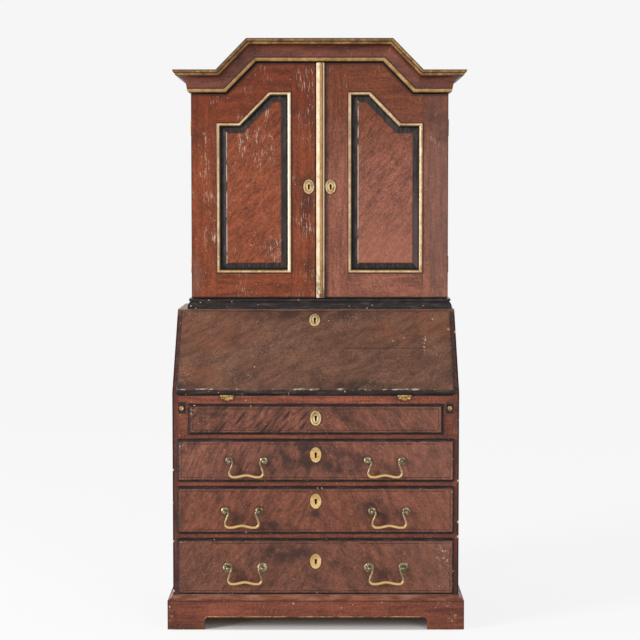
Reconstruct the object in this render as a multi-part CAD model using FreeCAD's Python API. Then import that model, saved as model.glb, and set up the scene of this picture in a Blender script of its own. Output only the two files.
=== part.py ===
import FreeCAD, Part
import math
import os

from FreeCAD import Placement, Rotation, Vector

# Bureau cabinet. Sizes are in millimetres and degrees.
# X runs to the right, Y to the back and Z up from the floor; the bureau is centred on X = 0.

# Bureau case
BUREAU_WIDTH = 915.0
BUREAU_DEPTH = 500.0
DESK_RISE = 262.0
FALL_SLOPE = 50.5
SIDE_THICK = 20.0
SIDE_UNDERSIDE = 50.0
TOP_THICK = 18.0
BACK_THICK = 12.0
BOTTOM_THICK = 18.0

# Drawer openings, long ones from the top down, and the rails between them
DRAWER_FLOOR = 110.0
LONG_HEIGHTS = (130.0, 146.0, 175.0)
FRIEZE_HEIGHT = 90.0
RAIL_HEIGHT = 22.0
RAIL_DEPTH = 60.0
TOP_RAIL_HEIGHT = 13.0
RUNNER_WIDTH = 36.0

# Plinth: its section as shares of projection and height
PLINTH_HEIGHT = 108.5
PLINTH_OUT = 17.0
FOOT_WIDTH = 118.0
BACK_FOOT_WIDTH = 90.0
ARCH_HEIGHT = 40.0
ARCH_RADIUS = 12.0
PLINTH_SHARES = ((0, 0), (1, 0), (1, 0.855), (0.92, 0.865), ((0.48, 0.91), (0.12, 0.985)), (0.12, 1), (0, 1))

# Waist moulding: its section as shares of projection and height
WAIST_HEIGHT = 34.5
WAIST_OUT = 13.0
WAIST_SHARES = ((0, 0), (1, 0), (1, 0.16), ((0.82, 0.5), (0.42, 0.72)), (0.42, 0.78), (0.66, 0.78), (0.66, 1),
                (0, 1))
TOP_MARGIN = 7.0

# Upper case, set in from the bureau's sides, and the broken slope of its cornice
CABINET_STEP = 32.5
CABINET_SHIFT = 12.0
CABINET_SIDE_THICK = 20.0
CABINET_BOTTOM_THICK = 18.0
EAVES_RISE = 714.0
BREAK_LOW_SHARE = 0.727
BREAK_HIGH_SHARE = 0.492
BREAK_RISE_SHARE = 0.24
ROOF_THICK = 15.0
ROOF_RISE = 63.0
SHELF_THICK = 16.0
SHELF_SETBACK = 6.0
SHELF_HOUSING = 6.0
SHELF_HEIGHT_SHARES = (0.33, 0.66)

# Cornice: its section as shares of projection and height
CORNICE_HEIGHT = 73.0
CORNICE_OUT = 56.0
CORNICE_BEAD_SHARES = ((0, 0), (0.06, 0), ((0.17, 0.05), (0.21, 0.17)), (0.21, 0.19))
CORNICE_COVE_SHARES = ((0.23, 0.19), ((0.38, 0.53), (0.77, 0.73)), (0.80, 0.73))
CORNICE_FILLET_SHARES = (((0.86, 0.78), (0.88, 0.85)), (0.91, 0.85), ((0.97, 0.89), (1, 0.95)), (1, 1),
                         (0, 1))
CORNICE_SHARES = CORNICE_BEAD_SHARES + CORNICE_COVE_SHARES + CORNICE_FILLET_SHARES

# Doors
DOOR_THICK = 22.0
DOOR_GAP = 1.0
DOOR_CLEAR = 3.0
MEETING_X = -12.5
MEETING_GAP = 2.0
OUTER_STILE = 84.0
PANEL_INNER_SHARE = 0.2212
BOTTOM_RAIL = 82.0
TOP_RAIL = 95.0
TENON_LENGTH = 45.0
TENON_THICK = 7.0
TENON_SHOULDER = 15.0
PANEL_TONGUE = 8.0
PANEL_SINK = 9.0
PANEL_THICK = 7.0
PANEL_BEVEL = 20.5
BEVEL_RISE = 5.5
FIELD_STEP = 2.5
BEAD_WIDTH = 12.5
BEAD_PROUD = 4.0
BEAD_SHARES = ((0, 0), (0.7, 0), ((0.93, 0.05), (1, 0.22)), (1, 0.5), ((0.88, 0.8), (0.35, 1)), (0, 1))
ASTRAGAL_WIDTH = 27.0
ASTRAGAL_PROUD = 12.0
ASTRAGAL_SHARES = ((0, 0), (0, 0.3), ((0.18, 0.78), (0.46, 1)), (0.53, 1), ((0.6, 0.66), (0.78, 0.5)),
                   (0.78, 0.42), (0.84, 0.42), ((0.95, 0.36), (1, 0.2)), (1, 0))
DOOR_KEY_X = 36.0
DOOR_KEY_RISE = 368.0

# Fall, its bed board is as thick as the fall
FALL_THICK = 20.0
FALL_INSET = 7.0
FALL_OVERLAP = 8.0
FALL_ROUND = 9.0
FALL_FOOT_GAP = 0.5
FALL_KEY_DROP = 42.0
FALL_KEY_X = -4.0
FALL_HINGE_X = 283.0

# Lopers
LOPER_WIDTH = 21.0
LOPER_HEIGHT = 36.0
LOPER_BACK_GAP = 68.0
LOPER_PROUD = 1.5
GUIDE_THICK = 16.0
KNOB_RADIUS = 7.5
KNOB_REACH = 15.0
KNOB_SHARES = ((0, 0), (0.75, 0), (0.75, 0.12), ((0.45, 0.3), (0.42, 0.5)), ((1, 0.66), (0.8, 0.92)),
               (0.55, 1), (0.3, 0.92), (0, 0.92))

# Drawers, keyhole and handle drops from the top of each opening
DRAWER_BACK_GAP = 58.0
DRAWER_PROUD = 9.0
DRAWER_INSET = 13.0
DRAWER_OVERLAP = 5.5
DRAWER_ROUND = 6.5
LIP_FOOT = 2.0
THUMB_STEP = 1.5
DRAWER_CLEAR = 1.0
DRAWER_SIDE = 12.0
DRAWER_SIDE_DROP = 4.0
DRAWER_BACK = 10.0
DRAWER_BOTTOM = 8.0
DRAWER_BOTTOM_RISE = 8.0
DRAWER_GROOVE = 5.0
TAIL_LENGTH = 9.0
TAIL_PITCH = 42.0
TAIL_ROOT_SHARE = 0.5
TAIL_TIP_SHARE = 0.72
LONG_NAMES = ("top_drawer", "middle_drawer", "bottom_drawer")
LONG_KEY_DROPS = (43.0, 40.0, 66.0)
FRIEZE_KEY_DROP = 37.0
HANDLE_DROPS = (62.0, 72.0, 86.0)
HANDLE_OFFSETS = (221.0, 235.0, 226.0)
ROSE_RADII = (12.0, 12.5, 16.0)

# Locks and keyhole plates
LOCK_WIDTH = 70.0
LOCK_THICK = 10.0
LOCK_BELOW = 22.0
PLATE_WIDTH = 36.0
PLATE_HEIGHT = 49.0
PLATE_THICK = 1.6
RING_WIDTH = 5.0
RING_RISE = 1.8
BOSS_INSET = 8.5
BOSS_RISE = 1.2
KEY_RADIUS = 2.8
KEY_SLOT = 4.0
KEY_LENGTH = 12.0

# Bail handles
BAIL_SPACING = 110.0
BAIL_DROP = 50.0
BAIL_HUMP = 7.0
BAIL_NECK_GAP = 7.0
BAIL_BELLY = 4.0
BAIL_FLAT = 30.0
BAIL_WIRE_RADIUS = 2.5
BAIL_MIDDLE_RADIUS = 4.4
BAIL_PIN = 3.0
BAIL_NECK_RADIUS = 4.5
BAIL_CORNER_RADIUS = 13.0
BAIL_WAVE_RADIUS = 36.0
POST_STAND = 16.0
POST_BALL = 6.5
POST_STEM = 4.0
ROSE_EDGE = 1.2
ROSE_DOME = 4.0
SHANK_RADIUS = 2.5
SHANK_TAIL = 6.0
NUT_WIDTH = 11.0
NUT_THICK = 4.0

# Hinges
FALL_HINGE = {"length": 44.0, "radius": 4.0, "pin": 1.6, "reach": 34.0, "thick": 2.2, "lift": 0.0}
DOOR_HINGE = {"length": 56.0, "radius": 3.5, "pin": 1.4, "reach": 17.0, "thick": 1.5, "lift": 0.1}
DOOR_HINGE_INSET = 110.0
KNUCKLE_SHARES = (-0.5, -0.18, 0.18, 0.5)

# Pigeonholes and small drawers behind the fall
GALLERY_SETBACK = 8.0
GALLERY_BOARD = 9.0
SMALL_HEIGHT = 58.0
SMALL_WIDTH = 262.0
PIGEONHOLES = 4
SMALL_FRONT = 14.0
SMALL_SIDE = 7.0
SMALL_BACK_GAP = 62.0
SMALL_BOTTOM = 5.0
SMALL_KNOB_SCALE_SHARE = 0.8

# Clearances and cuts
SEAT_GAP = 0.3
RUN_CLEAR = 0.3
PIN_CLEAR = 0.1
LEAF_CLEAR = 0.1
OVERRUN = 5.0
NEAR = 0.001

# Places worked out from the sizes
BED_THICK = FALL_THICK
HALF_WIDTH = BUREAU_WIDTH / 2
INSIDE = HALF_WIDTH - SIDE_THICK
FRONT = (DRAWER_PROUD + POST_STAND + POST_BALL - BUREAU_DEPTH) / 2
BACK = FRONT + BUREAU_DEPTH
BACK_FACE = BACK - BACK_THICK
FRIEZE_FLOOR = DRAWER_FLOOR + sum(LONG_HEIGHTS) + len(LONG_HEIGHTS) * RAIL_HEIGHT
FRIEZE_TOP = FRIEZE_FLOOR + FRIEZE_HEIGHT
BED_UNDER = FRIEZE_TOP + TOP_RAIL_HEIGHT
BED_TOP = BED_UNDER + BED_THICK
BUREAU_TOP = BED_TOP + DESK_RISE
TOP_UNDER = BUREAU_TOP - TOP_THICK
SLOPE_SIN = math.sin(math.radians(FALL_SLOPE))
SLOPE_COS = math.cos(math.radians(FALL_SLOPE))
KNEE = BED_TOP + FALL_INSET / SLOPE_COS
LOPER_SLOT = LOPER_WIDTH + 2 * RUN_CLEAR
LOPER_FLOOR = BED_UNDER - LOPER_HEIGHT - 2 * RUN_CLEAR
FRIEZE_HALF = INSIDE - LOPER_SLOT - GUIDE_THICK
HALF_CABINET = HALF_WIDTH - CABINET_STEP
BREAK_LOW = HALF_CABINET * BREAK_LOW_SHARE
BREAK_HIGH = HALF_CABINET * BREAK_HIGH_SHARE
BREAK_RISE = HALF_CABINET * BREAK_RISE_SHARE
CABINET_INSIDE = HALF_CABINET - CABINET_SIDE_THICK
WAIST_TOP = BUREAU_TOP + WAIST_HEIGHT
DOOR_FOOT = WAIST_TOP + DOOR_CLEAR
EAVES = BUREAU_TOP + EAVES_RISE
BREAK_ANGLE = math.atan2(BREAK_RISE, BREAK_LOW - BREAK_HIGH)
ROOF_UNDER = ROOF_RISE - ROOF_THICK
PANEL_INNER_X = HALF_CABINET * PANEL_INNER_SHARE
PANEL_OUTER_X = HALF_CABINET - OUTER_STILE
FIELD_INSET = BEAD_WIDTH + PANEL_BEVEL
CUT_REACH = BUREAU_WIDTH + BUREAU_DEPTH
MITRE_OVERRUN = CORNICE_HEIGHT + CORNICE_OUT


def slope_y(z):
    """Depth of the sides' sloping edge at a height."""
    return FRONT + (z - KNEE) * SLOPE_COS / SLOPE_SIN


DOOR_FACE = slope_y(BUREAU_TOP) + TOP_MARGIN + WAIST_OUT
DOOR_BACK = DOOR_FACE + DOOR_THICK
CASE_FACE = DOOR_BACK + DOOR_GAP
DOOR_HINGE_Y = DOOR_BACK + DOOR_GAP / 2
GALLERY_FACE = slope_y(BUREAU_TOP) + GALLERY_SETBACK
UPRIGHT = Rotation(Vector(1, 0, 0), 90)
FALL_PLACE = Placement(Vector(0, FRONT, BED_TOP), Rotation(Vector(1, 0, 0), FALL_SLOPE))


# Shapes used by several pieces

def box(x0, x1, y0, y1, z0, z1):
    return Part.makeBox(x1 - x0, y1 - y0, z1 - z0, Vector(x0, y0, z0))


def placed(shape, placement):
    moved = shape.copy()
    moved.Placement = placement.multiply(moved.Placement)
    return moved


def mirrored(shape):
    return shape.mirror(Vector(0, 0, 0), Vector(1, 0, 0))


def scaled(shares, out, up):
    """Outline steps in millimetres from steps written as shares of two sizes."""
    def step(item):
        if isinstance(item[0], tuple):
            return tuple(step(point) for point in item)
        return (item[0] * out, item[1] * up)
    return [step(item) for item in shares]


def shifted(step, x, y):
    """An outline step moved in its plane."""
    if isinstance(step[0], tuple):
        return tuple(shifted(point, x, y) for point in step)
    return (step[0] + x, step[1] + y)


def outline_face(steps, place):
    """Face inside a closed outline. A step is the next point, or the middle and the end of an arc."""
    edges = []
    here = steps[0]
    for step in list(steps[1:]) + [steps[0]]:
        if isinstance(step[0], tuple):
            middle, end = step
            edges.append(Part.Arc(place(*here), place(*middle), place(*end)).toShape())
        else:
            end = step
            edges.append(Part.makeLine(place(*here), place(*end)))
        here = end
    return Part.Face(Part.Wire(edges))


def prism_x(steps, x0, x1):
    return outline_face(steps, lambda y, z: Vector(x0, y, z)).extrude(Vector(x1 - x0, 0, 0))


def prism_y(steps, y0, y1):
    return outline_face(steps, lambda x, z: Vector(x, y0, z)).extrude(Vector(0, y1 - y0, 0))


def prism_z(steps, z0, z1):
    return outline_face(steps, lambda x, y: Vector(x, y, z0)).extrude(Vector(0, 0, z1 - z0))


def frustum_y(wide, y0, narrow, y1):
    """Solid between two outlines with as many points each, in planes across Y."""
    near = [Vector(x, y0, z) for x, z in wide]
    far = [Vector(x, y1, z) for x, z in narrow]
    rings = [near, far]
    for i in range(len(near)):
        j = (i + 1) % len(near)
        rings.append([near[i], near[j], far[j], far[i]])
    faces = [Part.Face(Part.makePolygon(ring + ring[:1])) for ring in rings]
    return Part.Solid(Part.Shell(faces))


def turned(steps, foot, axis):
    """Solid turned about an axis across Z. Steps are radius and height above the foot."""
    face = outline_face(steps, lambda r, a: foot + axis * a + Vector(0, 0, 1) * r)
    return face.revolve(foot, axis, 360)


def rod_x(radius, x0, x1, y, z):
    return Part.makeCylinder(radius, x1 - x0, Vector(x0, y, z), Vector(1, 0, 0))


def half_space(point, normal):
    """Block on the side of a plane that its normal points to."""
    block = Part.makeBox(2 * CUT_REACH, 2 * CUT_REACH, CUT_REACH, Vector(-CUT_REACH, -CUT_REACH, 0))
    return placed(block, Placement(point, Rotation(Vector(0, 0, 1), normal)))


def mitred_lengths(path, outs, section, closed=False):
    """Lengths of one moulding along a path, mitred where they meet.

    Each length has its own outward direction; the section's steps are out and up from the path."""
    count = len(outs)
    ends = [path[(i + 1) % len(path)] for i in range(count)]
    alongs = [(ends[i] - path[i]).normalize() for i in range(count)]
    lengths = []
    for i, out in enumerate(outs):
        along = alongs[i]
        up = out.cross(along)
        origin = path[i] - along * MITRE_OVERRUN
        face = outline_face(section, lambda d, h: origin + out * d + up * h)
        bar = face.extrude(ends[i] - path[i] + along * (2 * MITRE_OVERRUN))
        before = alongs[i - 1] if closed or i > 0 else along
        after = alongs[(i + 1) % count] if closed or i + 1 < count else along
        bar = bar.cut(half_space(path[i], -(before + along)))
        lengths.append(bar.cut(half_space(ends[i], along + after)))
    return lengths


def lipped_board(inset, lip, depth, proud, radius):
    """Board in the XY plane that plugs a case below and laps its edge above, with a thumbnail edge."""
    x0, x1, y0, y1 = inset
    plug = box(x0, x1, y0, y1, -depth, SEAT_GAP)
    x0, x1, y0, y1 = lip
    brim = proud - THUMB_STEP
    slab = box(x0, x1, y0, y1, SEAT_GAP, brim)
    rim = [edge for edge in slab.Edges if all(abs(v.Z - brim) < NEAR for v in edge.Vertexes)]
    slab = slab.makeFillet(min(radius, brim - 2 * SEAT_GAP), rim)
    field = box(x0 + radius, x1 - radius, y0 + radius, y1 - radius, SEAT_GAP, proud)
    return plug.fuse([slab, field]).removeSplitter()


# Locks, keyhole plates and hinges

def oval(width, height, low, high, draft=0.0):
    """Oval block on the XY plane whose sides lean in by the draft."""
    rings = []
    for z, inset in ((low, 0.0), (high, draft)):
        tip = Vector(0, height / 2 - inset, z)
        side = Vector(width / 2 - inset, 0, z)
        rings.append(Part.Wire(Part.Ellipse(tip, side, Vector(0, 0, z)).toShape()))
    return Part.makeLoft(rings, True, True)


def keyhole(low, high):
    """Round hole over a slot, to cut along Z."""
    height = high - low
    bow = Part.makeCylinder(KEY_RADIUS, height, Vector(0, KEY_LENGTH / 2 - KEY_RADIUS, low))
    slot = box(-KEY_SLOT / 2, KEY_SLOT / 2, -KEY_LENGTH / 2, KEY_LENGTH / 2 - KEY_RADIUS, low, high)
    return bow.fuse(slot)


def keyhole_plate(ringed):
    """Oval plate on the XY plane, plain or with a raised ring and boss."""
    if ringed:
        plate = oval(PLATE_WIDTH, PLATE_HEIGHT, 0, PLATE_THICK + RING_RISE, RING_RISE)
        well = (PLATE_WIDTH - 2 * RING_WIDTH, PLATE_HEIGHT - 2 * RING_WIDTH)
        plate = plate.cut(oval(*well, PLATE_THICK, PLATE_THICK + RING_RISE + OVERRUN))
        boss = (PLATE_WIDTH - 2 * BOSS_INSET, PLATE_HEIGHT - 2 * BOSS_INSET)
        plate = plate.fuse(oval(*boss, 0, PLATE_THICK + BOSS_RISE, BOSS_RISE)).removeSplitter()
    else:
        plate = oval(PLATE_WIDTH, PLATE_HEIGHT, 0, PLATE_THICK, PLATE_THICK / 2)
    return plate.cut(keyhole(-OVERRUN, PLATE_THICK + RING_RISE + OVERRUN))


def hinge_spans(size):
    marks = [share * size["length"] for share in KNUCKLE_SHARES]
    outer = [(marks[0], marks[1] - PIN_CLEAR), (marks[2] + PIN_CLEAR, marks[3])]
    return outer, [(marks[1] + PIN_CLEAR, marks[2] - PIN_CLEAR)]


def hinge_leaf(size, spans, side, pinned):
    """Plate along +Y on one side of Z = 0, with knuckles round the X axis, and the pin if it holds it."""
    low, high = sorted((side * size["lift"], side * (size["lift"] + size["thick"])))
    half = size["length"] / 2
    start = size["radius"] + RUN_CLEAR
    parts = [box(-half, half, start, size["reach"], low, high)]
    for x0, x1 in spans:
        parts.append(box(x0, x1, 0, start, low, high))
        parts.append(rod_x(size["radius"], x0, x1, 0, 0))
    leaf = parts[0].fuse(parts[1:])
    if pinned:
        return leaf.fuse(rod_x(size["pin"], -half, half, 0, 0)).removeSplitter()
    return leaf.cut(rod_x(size["pin"] + PIN_CLEAR, -half, half, 0, 0)).removeSplitter()


def hinge_recess(size, side):
    """What the wood loses for one leaf and for the barrel."""
    low, high = sorted((-side * OVERRUN, side * (size["lift"] + size["thick"])))
    half = size["length"] / 2 + LEAF_CLEAR
    plate = box(-half, half, 0, size["reach"] + LEAF_CLEAR, low, high)
    return plate.fuse(rod_x(size["radius"] + RUN_CLEAR, -half - RUN_CLEAR, half + RUN_CLEAR, 0, 0))


# Bureau case

def bureau_sides():
    outline = [(FRONT, SIDE_UNDERSIDE), (BACK, SIDE_UNDERSIDE), (BACK, TOP_UNDER),
               (slope_y(TOP_UNDER), TOP_UNDER), (FRONT, KNEE)]
    right = prism_x(outline, INSIDE, HALF_WIDTH)
    return {"bureau_left_side": mirrored(right), "bureau_right_side": right}


def bureau_boards():
    top = [(slope_y(TOP_UNDER), TOP_UNDER), (BACK, TOP_UNDER), (BACK, BUREAU_TOP),
           (slope_y(BUREAU_TOP), BUREAU_TOP)]
    bed = box(-INSIDE, INSIDE, FRONT, BACK_FACE, BED_UNDER, BED_TOP)
    for x in (-FALL_HINGE_X, FALL_HINGE_X):
        bed = bed.cut(placed(hinge_recess(FALL_HINGE, -1), Placement(Vector(x, FRONT, BED_TOP), Rotation())))
    floor = DRAWER_FLOOR - BOTTOM_THICK
    return {
        "bureau_top": prism_x(top, -HALF_WIDTH, HALF_WIDTH),
        "bureau_back": box(-INSIDE, INSIDE, BACK_FACE, BACK, floor, TOP_UNDER),
        "bureau_bottom": box(-INSIDE, INSIDE, FRONT, BACK_FACE, floor, DRAWER_FLOOR),
        "writing_bed": bed,
    }


def long_floors():
    """Floor heights of the long drawer openings, from the top down."""
    floors = []
    level = FRIEZE_FLOOR
    for opening in LONG_HEIGHTS:
        level -= RAIL_HEIGHT + opening
        floors.append(level)
    return floors


def drawer_framing():
    """Front rails, and the runners behind them on both sides."""
    pieces = [box(-FRIEZE_HALF, FRIEZE_HALF, FRONT, FRONT + RAIL_DEPTH, FRIEZE_TOP, BED_UNDER)]
    for floor, opening in zip(long_floors(), LONG_HEIGHTS):
        low = floor + opening
        high = low + RAIL_HEIGHT
        width = RUNNER_WIDTH
        if high > FRIEZE_FLOOR - NEAR:
            width += LOPER_SLOT + GUIDE_THICK
        runner = box(INSIDE - width, INSIDE, FRONT + RAIL_DEPTH, BACK_FACE, low, high)
        pieces += [box(-INSIDE, INSIDE, FRONT, FRONT + RAIL_DEPTH, low, high), runner, mirrored(runner)]
    return {"drawer_framing": Part.makeCompound(pieces)}


def loper_guides():
    """Partition beside each loper, with the shelf and the front block that it slides on."""
    web = FRIEZE_HALF + GUIDE_THICK
    wall = box(FRIEZE_HALF, web, FRONT, BACK_FACE, FRIEZE_FLOOR, BED_UNDER)
    block = box(web, INSIDE, FRONT, FRONT + RAIL_DEPTH, FRIEZE_FLOOR, LOPER_FLOOR)
    shelf = box(web, INSIDE, FRONT + RAIL_DEPTH, BACK_FACE, LOPER_FLOOR - GUIDE_THICK, LOPER_FLOOR)
    guide = wall.fuse([block, shelf]).removeSplitter()
    return {"loper_guides": Part.makeCompound([mirrored(guide), guide])}


def arch(start, end):
    """Outline of the gap between two bracket feet, as places along the plinth and heights."""
    curve = ARCH_RADIUS * (1 - math.sqrt(0.5))
    low = ARCH_HEIGHT - ARCH_RADIUS
    return [(start, -OVERRUN), (end, -OVERRUN), (end, low),
            ((end - curve, ARCH_HEIGHT - curve), (end - ARCH_RADIUS, ARCH_HEIGHT)),
            (start + ARCH_RADIUS, ARCH_HEIGHT),
            ((start + curve, ARCH_HEIGHT - curve), (start, low))]


def plinth():
    path = [Vector(-HALF_WIDTH, BACK, 0), Vector(-HALF_WIDTH, FRONT, 0),
            Vector(HALF_WIDTH, FRONT, 0), Vector(HALF_WIDTH, BACK, 0)]
    outs = [Vector(-1, 0, 0), Vector(0, -1, 0), Vector(1, 0, 0)]
    left, front, right = mitred_lengths(path, outs, scaled(PLINTH_SHARES, PLINTH_OUT, PLINTH_HEIGHT))
    reach = HALF_WIDTH + PLINTH_OUT - FOOT_WIDTH
    front = front.cut(prism_y(arch(-reach, reach), FRONT - PLINTH_OUT - OVERRUN, FRONT + OVERRUN))
    side = arch(FRONT - PLINTH_OUT + FOOT_WIDTH, BACK - BACK_FOOT_WIDTH)
    through = prism_x(side, -HALF_WIDTH - PLINTH_OUT - OVERRUN, HALF_WIDTH + PLINTH_OUT + OVERRUN)
    returns = [left.cut(through), right.cut(through)]
    return {"plinth_front": front, "plinth_returns": Part.makeCompound(returns)}


def pigeonholes():
    """Shelf over the small drawers, partitions under it and over it."""
    shelf = BED_TOP + SMALL_HEIGHT
    pieces = [box(-INSIDE, INSIDE, GALLERY_FACE, BACK_FACE, shelf, shelf + GALLERY_BOARD)]
    inner = INSIDE - SMALL_WIDTH
    pieces.append(box(inner - GALLERY_BOARD, inner, GALLERY_FACE, BACK_FACE, BED_TOP, shelf))
    pieces.append(mirrored(pieces[-1]))
    pitch = 2 * INSIDE / PIGEONHOLES
    for i in range(1, PIGEONHOLES):
        x = i * pitch - INSIDE - GALLERY_BOARD / 2
        pieces.append(box(x, x + GALLERY_BOARD, GALLERY_FACE, BACK_FACE, shelf + GALLERY_BOARD, TOP_UNDER))
    return {"pigeonhole_boards": Part.makeCompound(pieces)}


# Drawers and handles

def knob(foot, axis, scale_share=1.0):
    return turned(scaled(KNOB_SHARES, KNOB_RADIUS * scale_share, KNOB_REACH * scale_share), foot, axis)


def small_drawer():
    """Right small drawer: front, sides, back and bottom boards and a knob."""
    x0 = INSIDE - SMALL_WIDTH + DRAWER_CLEAR
    x1 = INSIDE - DRAWER_CLEAR
    low = BED_TOP + RUN_CLEAR
    high = BED_TOP + SMALL_HEIGHT - DRAWER_CLEAR
    face = GALLERY_FACE + DRAWER_CLEAR
    inner = face + SMALL_FRONT
    end = BACK_FACE - SMALL_BACK_GAP
    boards = [
        box(x0, x1, face, inner, low, high),
        box(x0, x0 + SMALL_SIDE, inner, end, low, high),
        box(x1 - SMALL_SIDE, x1, inner, end, low, high),
        box(x0 + SMALL_SIDE, x1 - SMALL_SIDE, end - SMALL_SIDE, end, low + SMALL_BOTTOM, high),
        box(x0 + SMALL_SIDE, x1 - SMALL_SIDE, inner, end, low, low + SMALL_BOTTOM),
    ]
    foot = Vector((x0 + x1) / 2, face, (low + high) / 2)
    boards.append(knob(foot, Vector(0, -1, 0), SMALL_KNOB_SCALE_SHARE))
    return Part.makeCompound(boards)


def tails(x0, x1, root, low, high):
    """Dovetails on the front end of a drawer side, pointing to -Y."""
    count = max(2, round((high - low) / TAIL_PITCH))
    pitch = (high - low) / count
    made = []
    for i in range(count):
        z = low + (i + 0.5) * pitch
        narrow = pitch * TAIL_ROOT_SHARE / 2
        wide = pitch * TAIL_TIP_SHARE / 2
        tip = root - TAIL_LENGTH
        outline = [(root, z - narrow), (tip, z - wide), (tip, z + wide), (root, z + narrow)]
        made.append(prism_x(outline, x0, x1))
    return made


def drawer(half, floor, height, key_drop, ringed):
    """Front, box and lock of a drawer in an opening of this half width, floor and height."""
    place = Placement(Vector(0, FRONT, floor), UPRIGHT)
    inset = (-half + DRAWER_CLEAR, half - DRAWER_CLEAR, RUN_CLEAR, height - DRAWER_CLEAR)
    lip = (-half - DRAWER_OVERLAP, half + DRAWER_OVERLAP, LIP_FOOT, height + DRAWER_OVERLAP)
    front = placed(lipped_board(inset, lip, DRAWER_INSET, DRAWER_PROUD, DRAWER_ROUND), place)
    root = FRONT + DRAWER_INSET
    end = BACK_FACE - DRAWER_BACK_GAP
    low = floor + RUN_CLEAR
    high = floor + height - DRAWER_CLEAR - DRAWER_SIDE_DROP
    outer = half - DRAWER_CLEAR
    inner = outer - DRAWER_SIDE
    base = floor + DRAWER_BOTTOM_RISE
    bottom = box(-inner - DRAWER_GROOVE, inner + DRAWER_GROOVE, root - DRAWER_GROOVE, end,
                 base, base + DRAWER_BOTTOM)
    joints = tails(inner, outer, root, low, high)
    side = box(inner, outer, root, end, low, high).fuse(joints).removeSplitter().cut(bottom)
    back = box(-inner, inner, end - DRAWER_BACK, end, base + DRAWER_BOTTOM, high)
    for joint in joints:
        front = front.cut([joint, mirrored(joint)])
    front = front.cut(bottom)
    key = height - key_drop
    case = placed(box(-LOCK_WIDTH / 2, LOCK_WIDTH / 2, key - LOCK_BELOW, height - DRAWER_CLEAR,
                      -DRAWER_INSET, LOCK_THICK - DRAWER_INSET), place)
    centre = place.multiply(Placement(Vector(0, key, 0), Rotation()))
    hole = placed(keyhole(LOCK_THICK - DRAWER_INSET, DRAWER_PROUD + OVERRUN), centre)
    plate = placed(keyhole_plate(ringed), centre.multiply(Placement(Vector(0, 0, DRAWER_PROUD), Rotation())))
    return {
        "front": front.cut([case, hole]),
        "box": Part.makeCompound([mirrored(side), side, back, bottom]),
        "lock": Part.makeCompound([case, plate]),
    }


def post(foot, rose):
    """Handle post with its rose, pierced ball and shank, and the nut behind the drawer front."""
    outward = Vector(0, -1, 0)
    board = DRAWER_PROUD + DRAWER_INSET
    waist = POST_STAND - math.sqrt(POST_BALL ** 2 - POST_STEM ** 2)
    bulge = (rose + POST_STEM) / 2
    tail = -board - SHANK_TAIL
    steps = [(0, tail), (SHANK_RADIUS, tail), (SHANK_RADIUS, 0), (rose, 0), (rose, ROSE_EDGE),
             ((bulge, ROSE_DOME - ROSE_EDGE / 2), (POST_STEM, ROSE_DOME)), (POST_STEM, waist),
             ((POST_BALL, POST_STAND), (0, POST_STAND + POST_BALL))]
    body = turned(steps, foot, outward)
    eye = rod_x(BAIL_WIRE_RADIUS + PIN_CLEAR, foot.x - POST_BALL - OVERRUN, foot.x + POST_BALL + OVERRUN,
                foot.y - POST_STAND, foot.z)
    inner = foot.y + board
    half = NUT_WIDTH / 2
    nut = box(foot.x - half, foot.x + half, inner, inner + NUT_THICK, foot.z - half, foot.z + half)
    return [body.cut(eye), nut.cut(shank_hole(foot))]


def shank_hole(foot):
    reach = DRAWER_PROUD + DRAWER_INSET + SHANK_TAIL + OVERRUN
    return Part.makeCylinder(SHANK_RADIUS + PIN_CLEAR, reach, foot, Vector(0, 1, 0))


def rounded_wire(points, radii, place):
    """Wire of straight runs with a tangent arc of the given radius at each inner point."""
    spots = [place(*point) for point in points]
    edges = []
    here = spots[0]
    for i, radius in enumerate(radii, start=1):
        back = (spots[i - 1] - spots[i]).normalize()
        ahead = (spots[i + 1] - spots[i]).normalize()
        half = back.getAngle(ahead) / 2
        start = spots[i] + back * (radius / math.tan(half))
        end = spots[i] + ahead * (radius / math.tan(half))
        middle = spots[i] + (back + ahead).normalize() * (radius / math.sin(half) - radius)
        edges.append(Part.makeLine(here, start))
        edges.append(Part.Arc(start, middle, end).toShape())
        here = end
    edges.append(Part.makeLine(here, spots[-1]))
    return Part.Wire(edges)


def bail(x, z):
    """Swan-neck bail hanging from the eyes of two posts, its wire thickening towards the middle."""
    half = BAIL_SPACING / 2
    y = FRONT - DRAWER_PROUD - POST_STAND
    pin_end = POST_BALL - half
    left = [(pin_end, 0), (pin_end + BAIL_NECK_GAP, 0), (-half - BAIL_BELLY, -BAIL_DROP),
            (-BAIL_FLAT, -BAIL_DROP)]
    points = left + [(0, BAIL_HUMP - BAIL_DROP)] + [(-px, pz) for px, pz in reversed(left)]
    radii = [BAIL_NECK_RADIUS, BAIL_CORNER_RADIUS, BAIL_WAVE_RADIUS]
    radii = radii + [BAIL_WAVE_RADIUS] + radii[::-1]
    edges = rounded_wire(points, radii, lambda px, pz: Vector(x + px, y, z + pz)).Edges
    crown = len(edges) // 2
    first, last = edges[crown].ParameterRange
    crown_halves = edges[crown].split((first + last) / 2).Edges
    path = Part.Wire(edges[:crown] + crown_halves + edges[crown + 1:])
    marks = path.OrderedVertexes
    sizes = ((marks[0], BAIL_WIRE_RADIUS), (marks[len(marks) // 2], BAIL_MIDDLE_RADIUS),
             (marks[-1], BAIL_WIRE_RADIUS))
    rings = [Part.Wire(Part.makeCircle(radius, mark.Point, Vector(1, 0, 0))) for mark, radius in sizes]
    pins = [rod_x(BAIL_WIRE_RADIUS, x - half - BAIL_PIN, x + pin_end, y, z),
            rod_x(BAIL_WIRE_RADIUS, x - pin_end, x + half + BAIL_PIN, y, z)]
    return path.makePipeShell(rings, True, False).fuse(pins)


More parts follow.
